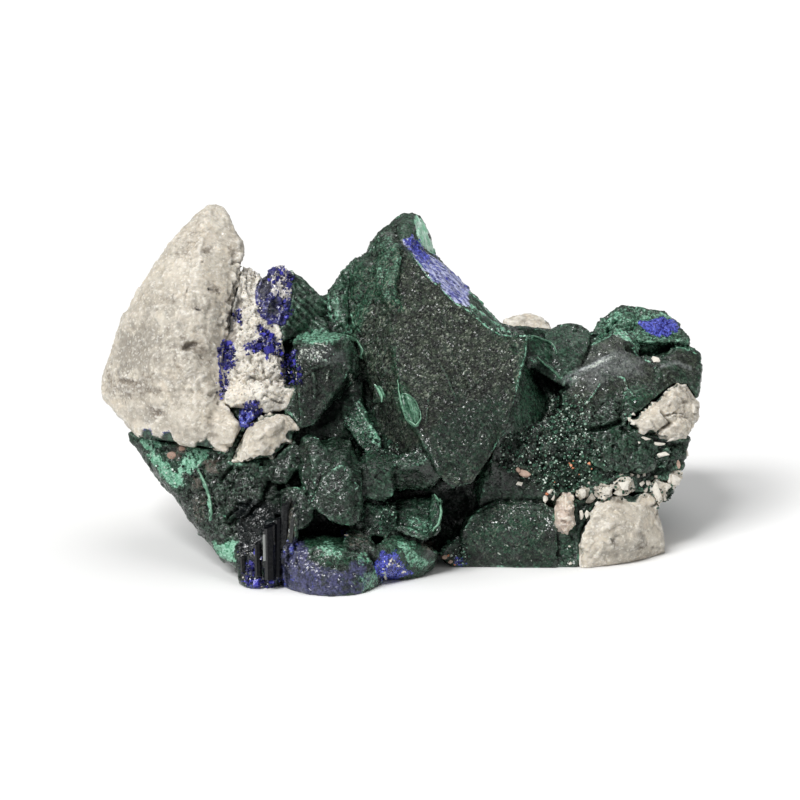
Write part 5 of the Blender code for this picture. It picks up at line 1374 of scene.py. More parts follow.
    # Painted shade in inner corners, in the grooves between ribs, in the cracks between scales and in deep hollows.
    lay("deep_shade", smooth(s.inner, 0.45, 0.0) * smooth(noise(p, 1.6, 66), -0.5, 0.3) * (1 - seam), 0.4)
    lay("deep_shade", column * smooth(ribs, 0.0, -0.35), 0.6)
    lay("deep_shade", scaly * smooth(second - first, 0.07, 0.0), 0.5)
    m["deep_shade"] = np.clip(m["deep_shade"] + 0.4 * sunk * sunk_wide, 0, 1)

    # Hidden sides: patches of the same minerals.
    lay("mint", back * smooth(noise(p, 7.0, 61), 0.2, 0.7) * (0.4 + 0.5 * bright), 0.8)
    lay("violet", back * smooth(noise(p, 11.0, 62), 0.4, 0.75), 0.75)
    lay("blue", back * smooth(noise(p, 9.0, 63), 0.55, 0.95), 0.62)
    lay("grey", back * smooth(noise(p, 6.0, 64), -0.2, 0.5), 0.8)
    lay("earth", back * smooth(noise(p, 12.0, 65), 0.45, 0.8), 0.7)
    lay("gloss", prisms, 1.0)
    for key in m:
        m[key] = np.clip(m[key], 0, 1)
    s.pieces("malachite", m, malachite_material(), "malachite_cluster", "malachite", groups=8)
    return s


# ------------------------------------------------------------------ the matrix and the azurite
def stone_masks(s, extra=(), host=0.0):
    m = {k: np.zeros(len(s.v)) for k in ("grey", "stain_and_shade", "blue", "green", "deep_shade", "crest", "pit", "host")}
    m["host"][:] = host
    fine, wide = s.hollow(0), s.hollow(6)
    # crest carries a painted highlight on ridges and pit a painted shade in hollows.
    m["crest"] = np.clip(np.clip(-fine / 0.05, 0, 1) * 0.5 + 0.7 * np.clip(-wide / 0.026, 0, 1) - 0.1, 0, 1)
    m["pit"] = np.clip(np.clip(fine / 0.062, 0, 1) * 0.6 + 0.6 * np.clip(wide / 0.032, 0, 1) - 0.15, 0, 1)
    for mask, kind, points, width, strength in extra:
        values = s.area(points, width, width * 0.5) if kind == "area" else s.line(points, width)
        m[mask] = np.maximum(m[mask], strength * values)
    return m


def broken_stone(s, seed, swell=0.3, chunk=0.2, grit=0.1, lean=18):
    """A broken surface: shallow facets of several sizes, short flakes that lie one way, and a fine grain."""
    p = s.v
    amount = swell * layers(p, 5.0, 3, seed, 0.5)
    for size, share, k in ((4.2, 1.0, 0), (1.9, 0.5, 5)):
        bent = p + 0.3 * size * np.stack([layers(p, size, 2, seed + k + a) for a in (20, 21, 22)], axis=1)
        _, _, value, plane = cells(bent, size, seed + k)
        amount += chunk * share * (0.7 * plane * size / 4.2 + 0.25 * (value - 0.5))
    c, k = math.cos(math.radians(lean)), math.sin(math.radians(lean))
    flakes = np.stack([0.5 * (p[:, 0] * c - p[:, 2] * k), 0.6 * p[:, 1], p[:, 0] * k + p[:, 2] * c], axis=1)
    flakes = flakes + 0.2 * np.stack([noise(p, 0.9, seed + 30 + a) for a in (0, 1, 2)], axis=1)
    busy = 0.2 + 1.1 * smooth(noise(p, 4.5, seed + 6), -0.15, 0.4)
    for size, share, k in ((1.0, 1.0, 8), (0.5, 0.6, 9)):
        _, _, value, plane = cells(flakes, size, seed + k)
        amount += grit * busy * share * (0.9 * (value - 0.5) + 1.1 * plane)
    amount += grit * (0.7 * layers(p, 0.5, 2, seed + 2) + 1.3 * layers(flakes, 1.7, 3, seed + 11, 0.6))
    amount -= grit * 2.0 * smooth(layers(flakes, 0.8, 2, seed + 4), 0.5, 0.8)
    amount -= 0.22 * smooth(s.outer, 0.9, 0.0) * smooth(noise(p, 1.6, seed + 3), -0.3, 0.5) + 0.1 * smooth(s.outer, 0.6, 0.0)
    return amount


def dish(s, centre, across, down, depth, turn=0.0):
    """A shallow ragged pit, about oval on the sheet."""
    c, k = math.cos(math.radians(turn)), math.sin(math.radians(turn))
    du, dw = s.u - centre[0], s.w - centre[1]
    away = np.hypot((du * c + dw * k) / across, (dw * c - du * k) / down) + 0.55 * layers(s.v, 0.9, 2, 88)
    return -0.75 * depth * (1 - smooth(away, 0.35, 1.15)) * smooth(s.seen, 0.2, 0.6)


def block_left(voxel, material):
    s = Surface("matrix_block_left", voxel)
    s.calm((1 - smooth(s.inner, 0.5, 1.6)) * (1 - smooth(s.seen, 0.0, 0.4)), 16)
    amount = broken_stone(s, 31, 0.25, 0.22, 0.11)
    for points, reach, height in (
        ([(128, 312), (150, 306), (166, 302), (190, 308), (203, 312), (204, 330), (212, 350), (219, 366)], 12, -0.2),
        ([(122, 398), (138, 396), (150, 388), (190, 388), (216, 394)], 9, 0.2),
        ([(153, 292), (160, 297), (170, 299)], 5, 0.15),
        ([(165, 248), (185, 255), (205, 250), (222, 258)], 10, 0.12),
        ([(175, 350), (196, 352), (206, 366)], 8, -0.12),
    ):
        amount += height * s.step(points, reach)
    for centre, a, b, depth, turn in (
        ((188, 346), 9, 4.5, 0.75, -20), ((127, 381), 13, 3.2, 0.45, 4), ((156, 413), 8, 5, 0.5, 10),
        ((198, 309.5), 2.6, 2, 0.6, 0), ((210, 289), 2.6, 2, 0.6, 0), ((218, 290), 1.8, 1.5, 0.4, 0),
        ((206, 251), 4, 3, 0.4, 0), ((235, 254), 4, 5, 0.5, 0), ((202, 262), 3, 1.6, 0.4, 0),
        ((192, 391), 3.0, 2, 0.4, 0), ((178, 327), 3, 2, 0.3, 0), ((112, 388), 5, 8, 0.3, 60),
        ((163, 297), 8, 2.6, 0.4, 8), ((214, 386), 2.4, 1.6, 0.4, 0), ((176, 425), 2.4, 2, 0.3, 0),
    ):
        amount += dish(s, centre, a, b, depth, turn)
    for points, width, height in (
        ([(126, 395), (140, 395), (157, 388)], 2.2, -0.12),
        ([(204, 312), (203, 322), (209, 336)], 2.2, 0.1),
        ([(222, 410), (231, 416), (240, 420)], 2.4, -0.25),
    ):
        amount += height * s.line(points, width, 2.0)
    _, _, value, plane = cells(s.v, 1.0, 39)
    amount += s.area([(230, 262), (246, 262), (242, 286), (238, 310), (230, 338), (220, 340), (222, 316), (229, 290)], 5) * (0.55 * plane + 0.3 * (value - 0.5))
    cleft = s.line([(242, 262), (238, 274), (236, 286), (234, 300), (231, 314), (228, 328)], 4.5, 3.5)
    amount -= 0.5 * cleft
    host = s.host([(90, 395), (113, 412), (128, 430), (136, 436), (141, 436), (143, 430), (151, 430), (156, 436), (161, 439), (164, 433),
        (170, 433), (174, 441), (181, 447), (187, 452), (193, 449), (198, 442), (205, 440), (211, 444), (215, 450), (222, 455),
        (230, 450), (236, 440), (244, 428), (256, 420), (256, 190), (90, 190)], 2.5, 90)
    s.push(amount, host)
    m = stone_masks(s, (
        ("grey", "area", [(140, 298), (200, 290), (226, 300), (222, 330), (150, 316)], 20, 0.5),
        ("grey", "area", [(150, 340), (220, 336), (222, 396), (170, 400), (150, 380)], 24, 0.45),
        ("grey", "area", [(122, 324), (150, 314), (170, 318), (200, 322), (204, 344), (190, 372), (160, 384), (116, 384), (108, 356)], 26, 0.5),
        ("grey", "area", [(122, 330), (146, 322), (160, 334), (160, 358), (138, 374), (116, 372), (114, 350)], 18, 0.9),
        ("grey", "area", [(112, 376), (140, 378), (156, 388), (130, 398), (118, 392)], 10, 0.75),
        ("grey", "area", [(176, 246), (200, 242), (208, 256), (190, 264), (174, 258)], 12, 0.3),
        ("grey", "area", [(200, 312), (222, 308), (224, 340), (214, 352), (206, 336)], 12, 0.5),
        ("grey", "area", [(146, 404), (166, 402), (170, 416), (150, 424), (130, 412)], 12, 0.7),
        ("grey", "area", [(150, 420), (200, 428), (206, 446), (150, 438)], 14, 0.4),
        ("stain_and_shade", "area", [(116, 378), (128, 378), (140, 380), (138, 385), (118, 384)], 5, 0.9),
        ("stain_and_shade", "area", [(150, 408), (160, 408), (162, 417), (152, 418)], 5, 0.75),
        ("stain_and_shade", "area", [(181, 344), (190, 341), (196, 345), (191, 351), (183, 352)], 4, 0.95),
        ("stain_and_shade", "area", [(206, 285), (212, 283), (220, 287), (220, 295), (210, 294)], 4, 0.7),
        ("stain_and_shade", "area", [(194, 306), (202, 306), (203, 312), (195, 312)], 3, 0.7),
        ("stain_and_shade", "line", [(152, 297), (160, 298), (170, 301)], 2.4, 0.6),
        ("stain_and_shade", "line", [(206, 330), (212, 344), (214, 356)], 2.4, 0.4),
        ("stain_and_shade", "line", [(190, 392), (198, 395), (204, 393)], 2.4, 0.55),
        ("deep_shade", "line", [(124, 380), (130, 381), (136, 381)], 1.6, 0.5),
        ("deep_shade", "line", [(157, 413), (160, 415)], 1.8, 0.4),
        ("stain_and_shade", "area", [(204, 246), (211, 246), (210, 253), (204, 253)], 4, 0.8),
        ("stain_and_shade", "area", [(233, 249), (238, 250), (238, 258), (234, 258)], 4, 0.8),
        ("stain_and_shade", "area", [(176, 253), (188, 250), (192, 256), (180, 260)], 5, 0.6),
        ("deep_shade", "line", [(196, 309), (200, 310)], 2.5, 0.85),
        ("deep_shade", "line", [(208, 288), (212, 290)], 2.5, 0.85),
        ("deep_shade", "line", [(216, 290), (219, 293)], 2.2, 0.8),
        ("deep_shade", "line", [(186, 344), (191, 346)], 1.8, 0.5),
        ("stain_and_shade", "area", [(176, 240), (200, 230), (218, 246), (208, 264), (184, 266)], 12, 0.34),
        ("stain_and_shade", "area", [(104, 372), (150, 372), (170, 392), (128, 402), (106, 396)], 12, 0.5),
        ("stain_and_shade", "area", [(224, 244), (240, 244), (243, 262), (230, 268)], 6, 0.55),
        ("stain_and_shade", "area", [(160, 330), (206, 330), (214, 366), (176, 370)], 14, 0.42),
        ("deep_shade", "line", [(237, 274), (235, 284), (235, 296), (231, 312), (228, 328)], 2.6, 0.8),
        ("stain_and_shade", "line", [(240, 262), (237, 274), (233, 290), (230, 310), (226, 332)], 4, 0.7),
        ("blue", "line", [(222, 344), (219, 360), (220, 376), (221, 392)], 4, 0.8),
        ("blue", "area", [(142, 428), (152, 428), (154, 436), (143, 436)], 4, 0.7),
        ("blue", "area", [(162, 431), (172, 431), (172, 440), (163, 438)], 4, 0.7),
    ), host)
    s.pieces("matrix_block_left_stone", m, material, "matrix_block_left", "matrix")
    return s


def granular_left(voxel, material):
    s = Surface("matrix_granular_left", voxel)
    p = s.v
    amount = 0.3 * layers(p, 3.0, 3, 41)
    tongue = s.area([(222, 395), (238, 384), (282, 384), (302, 394), (290, 408), (262, 414), (240, 412), (226, 412)], 8)
    for size, share, seed in ((1.7, 0.5, 42), (0.8, 0.32, 43), (0.42, 0.12, 47)):
        bent = p + 0.25 * size * np.stack([noise(p, 0.8 * size, seed + a) for a in (20, 21, 22)], axis=1)
        _, _, value, plane = cells(bent, size, seed)
        amount += share * (1 - 0.6 * tongue) * (0.9 * (value - 0.5) + 1.2 * plane)
    amount += 0.08 * layers(p, 0.45, 2, 44)
    for points, edge, height in (
        ([(246, 350), (262, 346), (276, 352), (278, 370), (262, 380), (248, 372)], 9, 0.5),
        ([(262, 362), (276, 356), (286, 366), (284, 384), (268, 384)], 8, 0.45),
        ([(240, 310), (256, 306), (264, 324), (254, 336), (242, 330)], 8, 0.45),
        ([(240, 272), (252, 272), (256, 292), (246, 300), (240, 290)], 6, 0.35),
        ([(236, 334), (250, 332), (252, 346), (238, 348)], 6, 0.35),
    ):
        amount += height * s.pillow(points, edge)
    for points, width, height in (
        ([(243, 268), (240, 285), (240, 300), (236, 318)], 5, -0.6),
        ([(247, 272), (246, 284), (249, 298)], 2.4, -0.35),
        ([(252, 273), (252, 286), (254, 296)], 2.0, -0.25),
        ([(246, 374), (252, 378), (262, 382)], 3, -0.4),
        ([(266, 396), (276, 402), (286, 404)], 2.5, -0.5),
        ([(262, 398), (268, 392), (282, 398), (286, 404)], 2.5, -0.3),
        ([(262, 360), (264, 375), (272, 384)], 3, -0.4),
    ):
        amount += height * s.line(points, width)
    amount -= 0.1 * smooth(s.outer, 0.6, 0.0)
    host = s.host([(215, 395), (221, 397), (226, 408), (244, 424), (258, 418), (264, 414), (272, 413), (284, 411), (289, 406), (296, 401),
        (299, 396), (293, 389), (286, 387), (286, 250), (210, 250)], 2.5, 92)
    s.push(amount, host)
    m = stone_masks(s, (
        ("blue", "area", [(222, 342), (231, 342), (236, 352), (235, 366), (228, 372), (218, 368)], 5, 0.95),
        ("blue", "area", [(219, 372), (227, 372), (229, 384), (225, 397), (219, 396)], 5, 0.9),
        ("blue", "area", [(256, 328), (264, 328), (272, 336), (280, 340), (279, 352), (268, 356), (262, 350), (250, 353), (245, 347), (253, 341), (262, 338)], 6, 0.82),
        ("blue", "area", [(284, 354), (298, 350), (302, 366), (302, 386), (284, 384), (282, 370)], 5, 0.95),
        ("blue", "area", [(237, 306), (243, 308), (242, 326), (236, 322)], 4, 0.8),
        ("blue", "area", [(244, 403), (256, 402), (262, 412), (256, 420), (244, 420)], 5, 0.95),
        ("stain_and_shade", "area", [(232, 310), (240, 330), (238, 345), (228, 345), (226, 325)], 6, 0.9),
        ("grey", "area", [(262, 398), (284, 398), (288, 412), (266, 414)], 6, 0.7),
        ("grey", "area", [(264, 364), (284, 362), (284, 384), (268, 384)], 8, 0.5),
        ("grey", "area", [(240, 272), (252, 270), (256, 296), (244, 300)], 8, 0.5),
        ("deep_shade", "line", [(240, 270), (237, 282), (238, 300), (234, 318), (230, 334)], 2.6, 0.9),
        ("grey", "line", [(243, 268), (241, 282), (241, 300)], 4, 0.9),
        ("deep_shade", "line", [(247, 274), (246, 286), (249, 296)], 2.0, 0.7),
        ("deep_shade", "area", [(226, 318), (234, 318), (234, 332), (227, 336)], 4, 0.85),
        ("deep_shade", "area", [(247, 374), (254, 376), (252, 383), (246, 381)], 3, 0.7),
    ), host)
    # Painted shade in the sugar's hollows, away from the smooth tongue.
    m["deep_shade"] = np.maximum(m["deep_shade"], 0.25 * m["pit"] * (1 - tongue))
    s.pieces("matrix_granular_left_stone", m, material, "matrix_granular_left", "matrix")
    return s


def wedge_right(voxel, material):
    s = Surface("matrix_wedge_right", voxel)
    amount = broken_stone(s, 61, 0.2, 0.3, 0.15)
    for points, width, height in (
        ([(662, 410), (666, 417), (672, 424)], 3.4, -0.6),
        ([(672, 424), (662, 428), (655, 436)], 3.4, -0.5),
        ([(666, 417), (676, 412), (684, 414)], 3, -0.45),
        ([(651, 421), (656, 430), (652, 438)], 2.4, -0.25),
    ):
        amount += height * s.line(points, width)
    for points, edge, height in (
        ([(636, 424), (650, 416), (662, 414), (664, 424), (654, 434), (640, 434)], 7, 0.5),
        ([(656, 436), (668, 428), (680, 430), (684, 438), (672, 444)], 6, 0.5),
        ([(672, 424), (684, 416), (692, 424), (688, 436), (678, 432)], 6, 0.5),
        ([(668, 392), (678, 384), (688, 388), (686, 404), (672, 412), (664, 404)], 8, 0.45),
        ([(688, 396), (699, 402), (700, 420), (690, 424), (686, 410)], 6, 0.4),
    ):
        amount += height * s.pillow(points, edge)
    host = s.host([(628, 417.5), (631.5, 421), (638, 419), (641, 415), (649.5, 406), (658, 400), (667, 393), (672.5, 386), (680, 383),
        (688, 380), (720, 380), (720, 428), (689, 433), (683, 441), (674, 440), (667, 437.5), (658, 435), (652.5, 430), (640, 433),
        (636, 427)], 2.8, 94)
    s.push(amount, host)
    m = stone_masks(s, (
        ("stain_and_shade", "line", [(662, 410), (666, 417), (672, 424), (664, 428)], 4, 0.85),
        ("stain_and_shade", "area", [(678, 386), (684, 386), (683, 391), (678, 391)], 3, 0.7),
        ("grey", "area", [(636, 424), (650, 420), (656, 436), (644, 440)], 6, 0.4),
        ("deep_shade", "line", [(636, 431), (640, 433)], 2.5, 0.8),
        ("deep_shade", "line", [(662, 411), (667, 418)], 1.4, 0.5),
    ), host)
    s.pieces("matrix_wedge_right_stone", m, material, "matrix_wedge_right", "matrix")
    return s


def block_right(voxel, material):
    s = Surface("matrix_block_right", voxel)
    amount = broken_stone(s, 71, 0.3, 0.5, 0.075, 12)
    for points, reach, height in (
        ([(585, 545), (604, 530), (628, 526), (648, 534), (658, 546)], 10, 0.14),
        ([(592, 520), (612, 508), (636, 512), (652, 505)], 9, 0.14),
        ([(600, 560), (622, 552), (645, 556)], 8, -0.1),
    ):
        amount += height * s.step(points, reach)
    for points, width, height in (
        ([(604, 536), (622, 540), (636, 548)], 2, 0.14),
        ([(585, 536), (592, 530)], 2, 0.12),
        ([(596, 514), (606, 508), (614, 510)], 3, -0.15),
    ):
        amount += height * s.line(points, width, 2.0)
    host = s.host([(570, 590), (577, 568), (582, 534), (590, 515), (598, 504), (610, 499), (621, 496), (629, 501), (636, 501), (640, 495),
        (646, 491), (652, 493), (656, 505), (680, 520), (680, 590)], 2.2, 96)
    s.push(amount, host)
    m = stone_masks(s, (
        ("stain_and_shade", "area", [(613, 498), (624, 498), (625, 503), (615, 504)], 4, 0.8),
        ("grey", "area", [(610, 540), (645, 532), (652, 548), (620, 558), (600, 556)], 16, 0.75),
        ("grey", "area", [(585, 530), (600, 520), (604, 545), (588, 556)], 14, 0.5),
        ("stain_and_shade", "area", [(640, 540), (656, 546), (650, 552), (640, 550)], 6, 0.5),
    ), host)
    s.pieces("matrix_block_right_stone", m, material, "matrix_block_right", "matrix")
    return s


def plain_stone(node, voxel, material, seed, slot="matrix", swell=0.22, chunk=0.25, grit=0.12, extra=(), shapes=(), outline=None):
    s = Surface(node, voxel)
    amount = broken_stone(s, seed, swell, chunk, grit)
    for points, edge, height in shapes:
        amount += height * s.pillow(points, edge)
    host = 0.0 if outline is None else s.host(outline, 2.6, seed + 40)
    s.push(amount, host)
    s.pieces(node + "_stone", stone_masks(s, extra, host), material, node, slot)
    return s


def azurite(voxel):
    s = Surface("azurite_crystal", voxel)
    p = s.v
    amount = 0.1 * layers(p, 1.5, 3, 33)
    for size, share, seed in ((1.6, 0.45, 33), (0.9, 0.22, 35)):
        _, _, value, plane = cells(p, size, seed)
        amount += share * (plane + 0.7 * (value - 0.5))
    frost = s.area([(269, 276), (280, 268), (291, 274), (292, 296), (284, 302), (272, 294)], 6, 3)
    _, _, value, plane = cells(p, 0.55, 34)
    amount += (0.08 + 0.3 * frost) * (value - 0.4)
    for points, edge, height in (
        ([(258, 290), (262, 278), (270, 272), (272, 288), (264, 300)], 5, -0.4),
        ([(263, 302), (278, 296), (283, 308), (277, 321), (266, 316)], 5, -0.5),
    ):
        amount += height * s.pillow(points, edge)
    amount -= 0.12 * smooth(s.outer, 0.5, 0.0)
    s.push(amount)
    # The crest mask carries a painted highlight on ridges.
    m = {"frost": 0.62 * frost, "slate": np.zeros(len(p)), "crest": np.clip(-s.hollow(0) / 0.03, 0, 1)}
    m["slate"] = np.maximum(0.85 * s.area([(258, 290), (262, 276), (270, 272), (271, 290), (262, 300)], 5, 2), 0.8 * s.area([(266, 302), (278, 298), (281, 310), (275, 318), (267, 314)], 5, 2))
    s.pieces("azurite_crystal_stone", m, azurite_material(), "azurite_crystal", "azurite")
    return s


# ------------------------------------------------------------------ grains and small crystals on the display side
def unit_vector(v):
    return v / max(float(np.linalg.norm(v)), 1e-9)


def crystals_on(relief, patches, seed, size, flat=0.45, sink=0.25, shapes=None, lean=0.7, tone=(0.0, 1.0), skew=1.6):
    """Small crystals standing on the surface: patches are (outline, how many to the square mm)."""
    crust = Crust(seed)
    shapes = shapes or [(BLOCK, BLOCK_FACES)]
    for index, (points, density) in enumerate(patches):
        for place, out in relief.scatter(points, density, seed + 31 * index):
            rng = crust.rng
            if out @ TOWARDS < 0.12:
                continue
            r = size[0] + (size[1] - size[0]) * rng.random() ** 2
            up = unit_vector(unit_vector(out) + lean * rng.normal(size=3) * 0.6)
            body = (r * rng.uniform(0.6, 1.0), r * rng.uniform(0.6, 1.0), r * (flat + 0.6 * rng.random()))
            crust.add(shapes[rng.integers(len(shapes))], place + unit_vector(out) * r * (0.5 - sink) * 0.6, body, up, tone[0] + (tone[1] - tone[0]) * rng.random() ** skew, 0.12)
    return crust


def fragments_on(relief, pieces, seed, sink=0.3, shapes=SHARDS):
    """Single fragments: place on the sheet, half its width and height in units, its turn, how proud it stands in mm, and its tone."""
    crust = Crust(seed)
    for index, (u, w, a, b, turn, rise, tone) in enumerate(pieces):
        found = relief.at(u, w)
        if found is None:
            continue
        place, out = found
        c, k = math.cos(math.radians(turn)), math.sin(math.radians(turn))
        across = np.array([1.0, 0.0, 0.0])
        up_sheet = np.array([0.0, SIN, COS])
        side = c * across + k * up_sheet
        third = np.cross(TOWARDS, side)
        depth = min(a, b) / UNITS * 0.8
        points, faces = shapes[(seed + index) % len(shapes)]
        points = points * np.array([a / UNITS, b / UNITS, depth]) * 1.08
        crust.v.append(points[:, :1] * side + points[:, 1:2] * third + points[:, 2:] * TOWARDS + place + TOWARDS * (rise - sink * depth))
        crust.f.append(faces + crust.count)
        crust.tone.append(np.full(len(points), tone))
        crust.count += len(points)
    return crust


def swept(crust, relief, path, rise, tone, spin=0.0, ring=10):
    """A rounded crystal lying along a path on the sheet: each station is place and half width in units."""
    stations = []
    for (u0, w0, a0), (u1, w1, a1) in zip(path[:-1], path[1:]):
        steps = max(2, int(math.hypot(u1 - u0, w1 - w0) / 1.2))
        for k in range(steps):
            stations.append((u0 + (u1 - u0) * k / steps, w0 + (w1 - w0) * k / steps, a0 + (a1 - a0) * k / steps))
    stations.append(path[-1])
    found = [(relief.at(u, w), a) for u, w, a in stations]
    found = [(f[0], f[1], a) for f, a in found if f is not None]
    place = np.array([f[0] for f in found])
    for _ in range(4):
        place[1:-1] = 0.5 * place[1:-1] + 0.25 * (place[:-2] + place[2:])
    half = np.array([f[2] for f in found]) / UNITS
    along = np.gradient(place, axis=0)
    along /= np.maximum(np.linalg.norm(along, axis=1, keepdims=True), 1e-9)
    out = np.tile(TOWARDS + np.array([spin, 0.0, 0.25]), (len(place), 1))
    side = np.cross(along, out)
    side /= np.maximum(np.linalg.norm(side, axis=1, keepdims=True), 1e-9)
    out = np.cross(side, along)
    turns = np.linspace(0, 2 * math.pi, ring, endpoint=False)
    points = []
    for k in range(len(place)):
        size = half[k] * (1 + 0.12 * math.sin(2.3 * k))
        for turn in turns:
            points.append(place[k] + side[k] * size * math.cos(turn) + out[k] * rise * (0.1 + 0.9 * math.sin(turn)) * min(1.0, half[k] / half.max() + 0.3))
    faces = []
    for k in range(len(place) - 1):
        for r in range(ring):
            a, b = k * ring + r, k * ring + (r + 1) % ring
            faces += [(a, b, b + ring), (a, b + ring, a + ring)]
    last = (len(place) - 1) * ring
    for r in range(1, ring - 1):
        faces += [(0, r + 1, r), (last, last + r, last + r + 1)]
    points, faces = np.array(points), np.array(faces)
    a, b, c = points[faces[:, 0]], points[faces[:, 1]], points[faces[:, 2]]
    if float((np.cross(a, b) * c).sum()) - float((np.cross(b - a, c - a) @ place.mean(axis=0)).sum()) < 0:
        faces = faces[:, ::-1]
    crust.v.append(points)
    crust.f.append(faces + crust.count)
    crust.tone.append(np.full(len(points), tone))
    crust.count += len(points)


def bar(crust, relief, top, foot, half, rise, tone, slope=0.4):
    """A straight flat-sided crystal standing against the surface, from one place on the sheet to another."""
    found = [relief.at(top[0] + (foot[0] - top[0]) * k, top[1] + (foot[1] - top[1]) * k) for k in (0.15, 0.4, 0.6, 0.85)]
    depths = [float(sheet(f[0][None, :])[2][0]) for f in found if f is not None]
    if not depths:
        return
    depth = float(np.median(depths)) + rise
    section = np.array([(-1.0, -1.6), (-1.0, -0.1), (-0.45, 0.42), (0.55, 0.3), (1.0, -0.2), (1.0, -1.6)]) * half / UNITS
    side = np.array([1.0, 0.0, 0.0])
    points = []
    for end, (u, w) in ((0, top), (1, foot)):
        centre = at(u, w, depth)
        lift = slope * (1 if end == 0 else 0)
        for a, b in section:
            points.append(centre + side * a + TOWARDS * b + np.array([0.0, 0.0, lift * (a - b) * (1 - end)]))
    n = len(section)
    faces = []
    for k in range(n):
        j = (k + 1) % n
        faces += [(k, k + n, j + n), (k, j + n, j)]
    for k in range(1, n - 1):
        faces += [(0, k, k + 1), (n, n + k + 1, n + k)]
    points, faces = np.array(points), np.array(faces)
    middle = points.mean(axis=0)
    a, b, c = (points[faces[:, k]] - middle for k in range(3))
    if float((np.cross(a, b) * c).sum()) < 0:
        faces = faces[:, ::-1]
    crust.v.append(points)
    crust.f.append(faces + crust.count)
    crust.tone.append(np.full(len(points), tone))
    crust.count += len(points)


BLUE_PATCHES = [
    ([(224, 341), (231, 343), (236, 352), (235, 366), (228, 372), (220, 368), (218, 360)], 11),
    ([(219, 372), (226, 372), (229, 384), (225, 396), (220, 396), (218, 384)], 10),
    ([(256, 327), (263, 326), (270, 334), (277, 339), (279, 352), (268, 356), (262, 350), (250, 354), (244, 348), (252, 340), (260, 338)], 11),
    ([(284, 354), (297, 351), (301, 366), (301, 384), (285, 383), (282, 370)], 11),
    ([(237, 306), (242, 308), (242, 324), (237, 322)], 7),
    ([(245, 404), (256, 402), (262, 408), (255, 420), (247, 429), (243, 420)], 11),
    ([(268, 272), (282, 268), (292, 274), (292, 286), (280, 284), (270, 282)], 7),
    ([(280, 296), (288, 296), (291, 312), (283, 322), (280, 306)], 5),
    ([(262, 314), (268, 318), (278, 320), (274, 325), (262, 322)], 5),
    ([(258, 300), (264, 296), (276, 292), (274, 298), (264, 302)], 5),
    ([(239, 570), (262, 575), (282, 577), (283, 588), (262, 590), (244, 590)], 6),
    ([(240, 552), (262, 548), (262, 576), (242, 570)], 2),
]


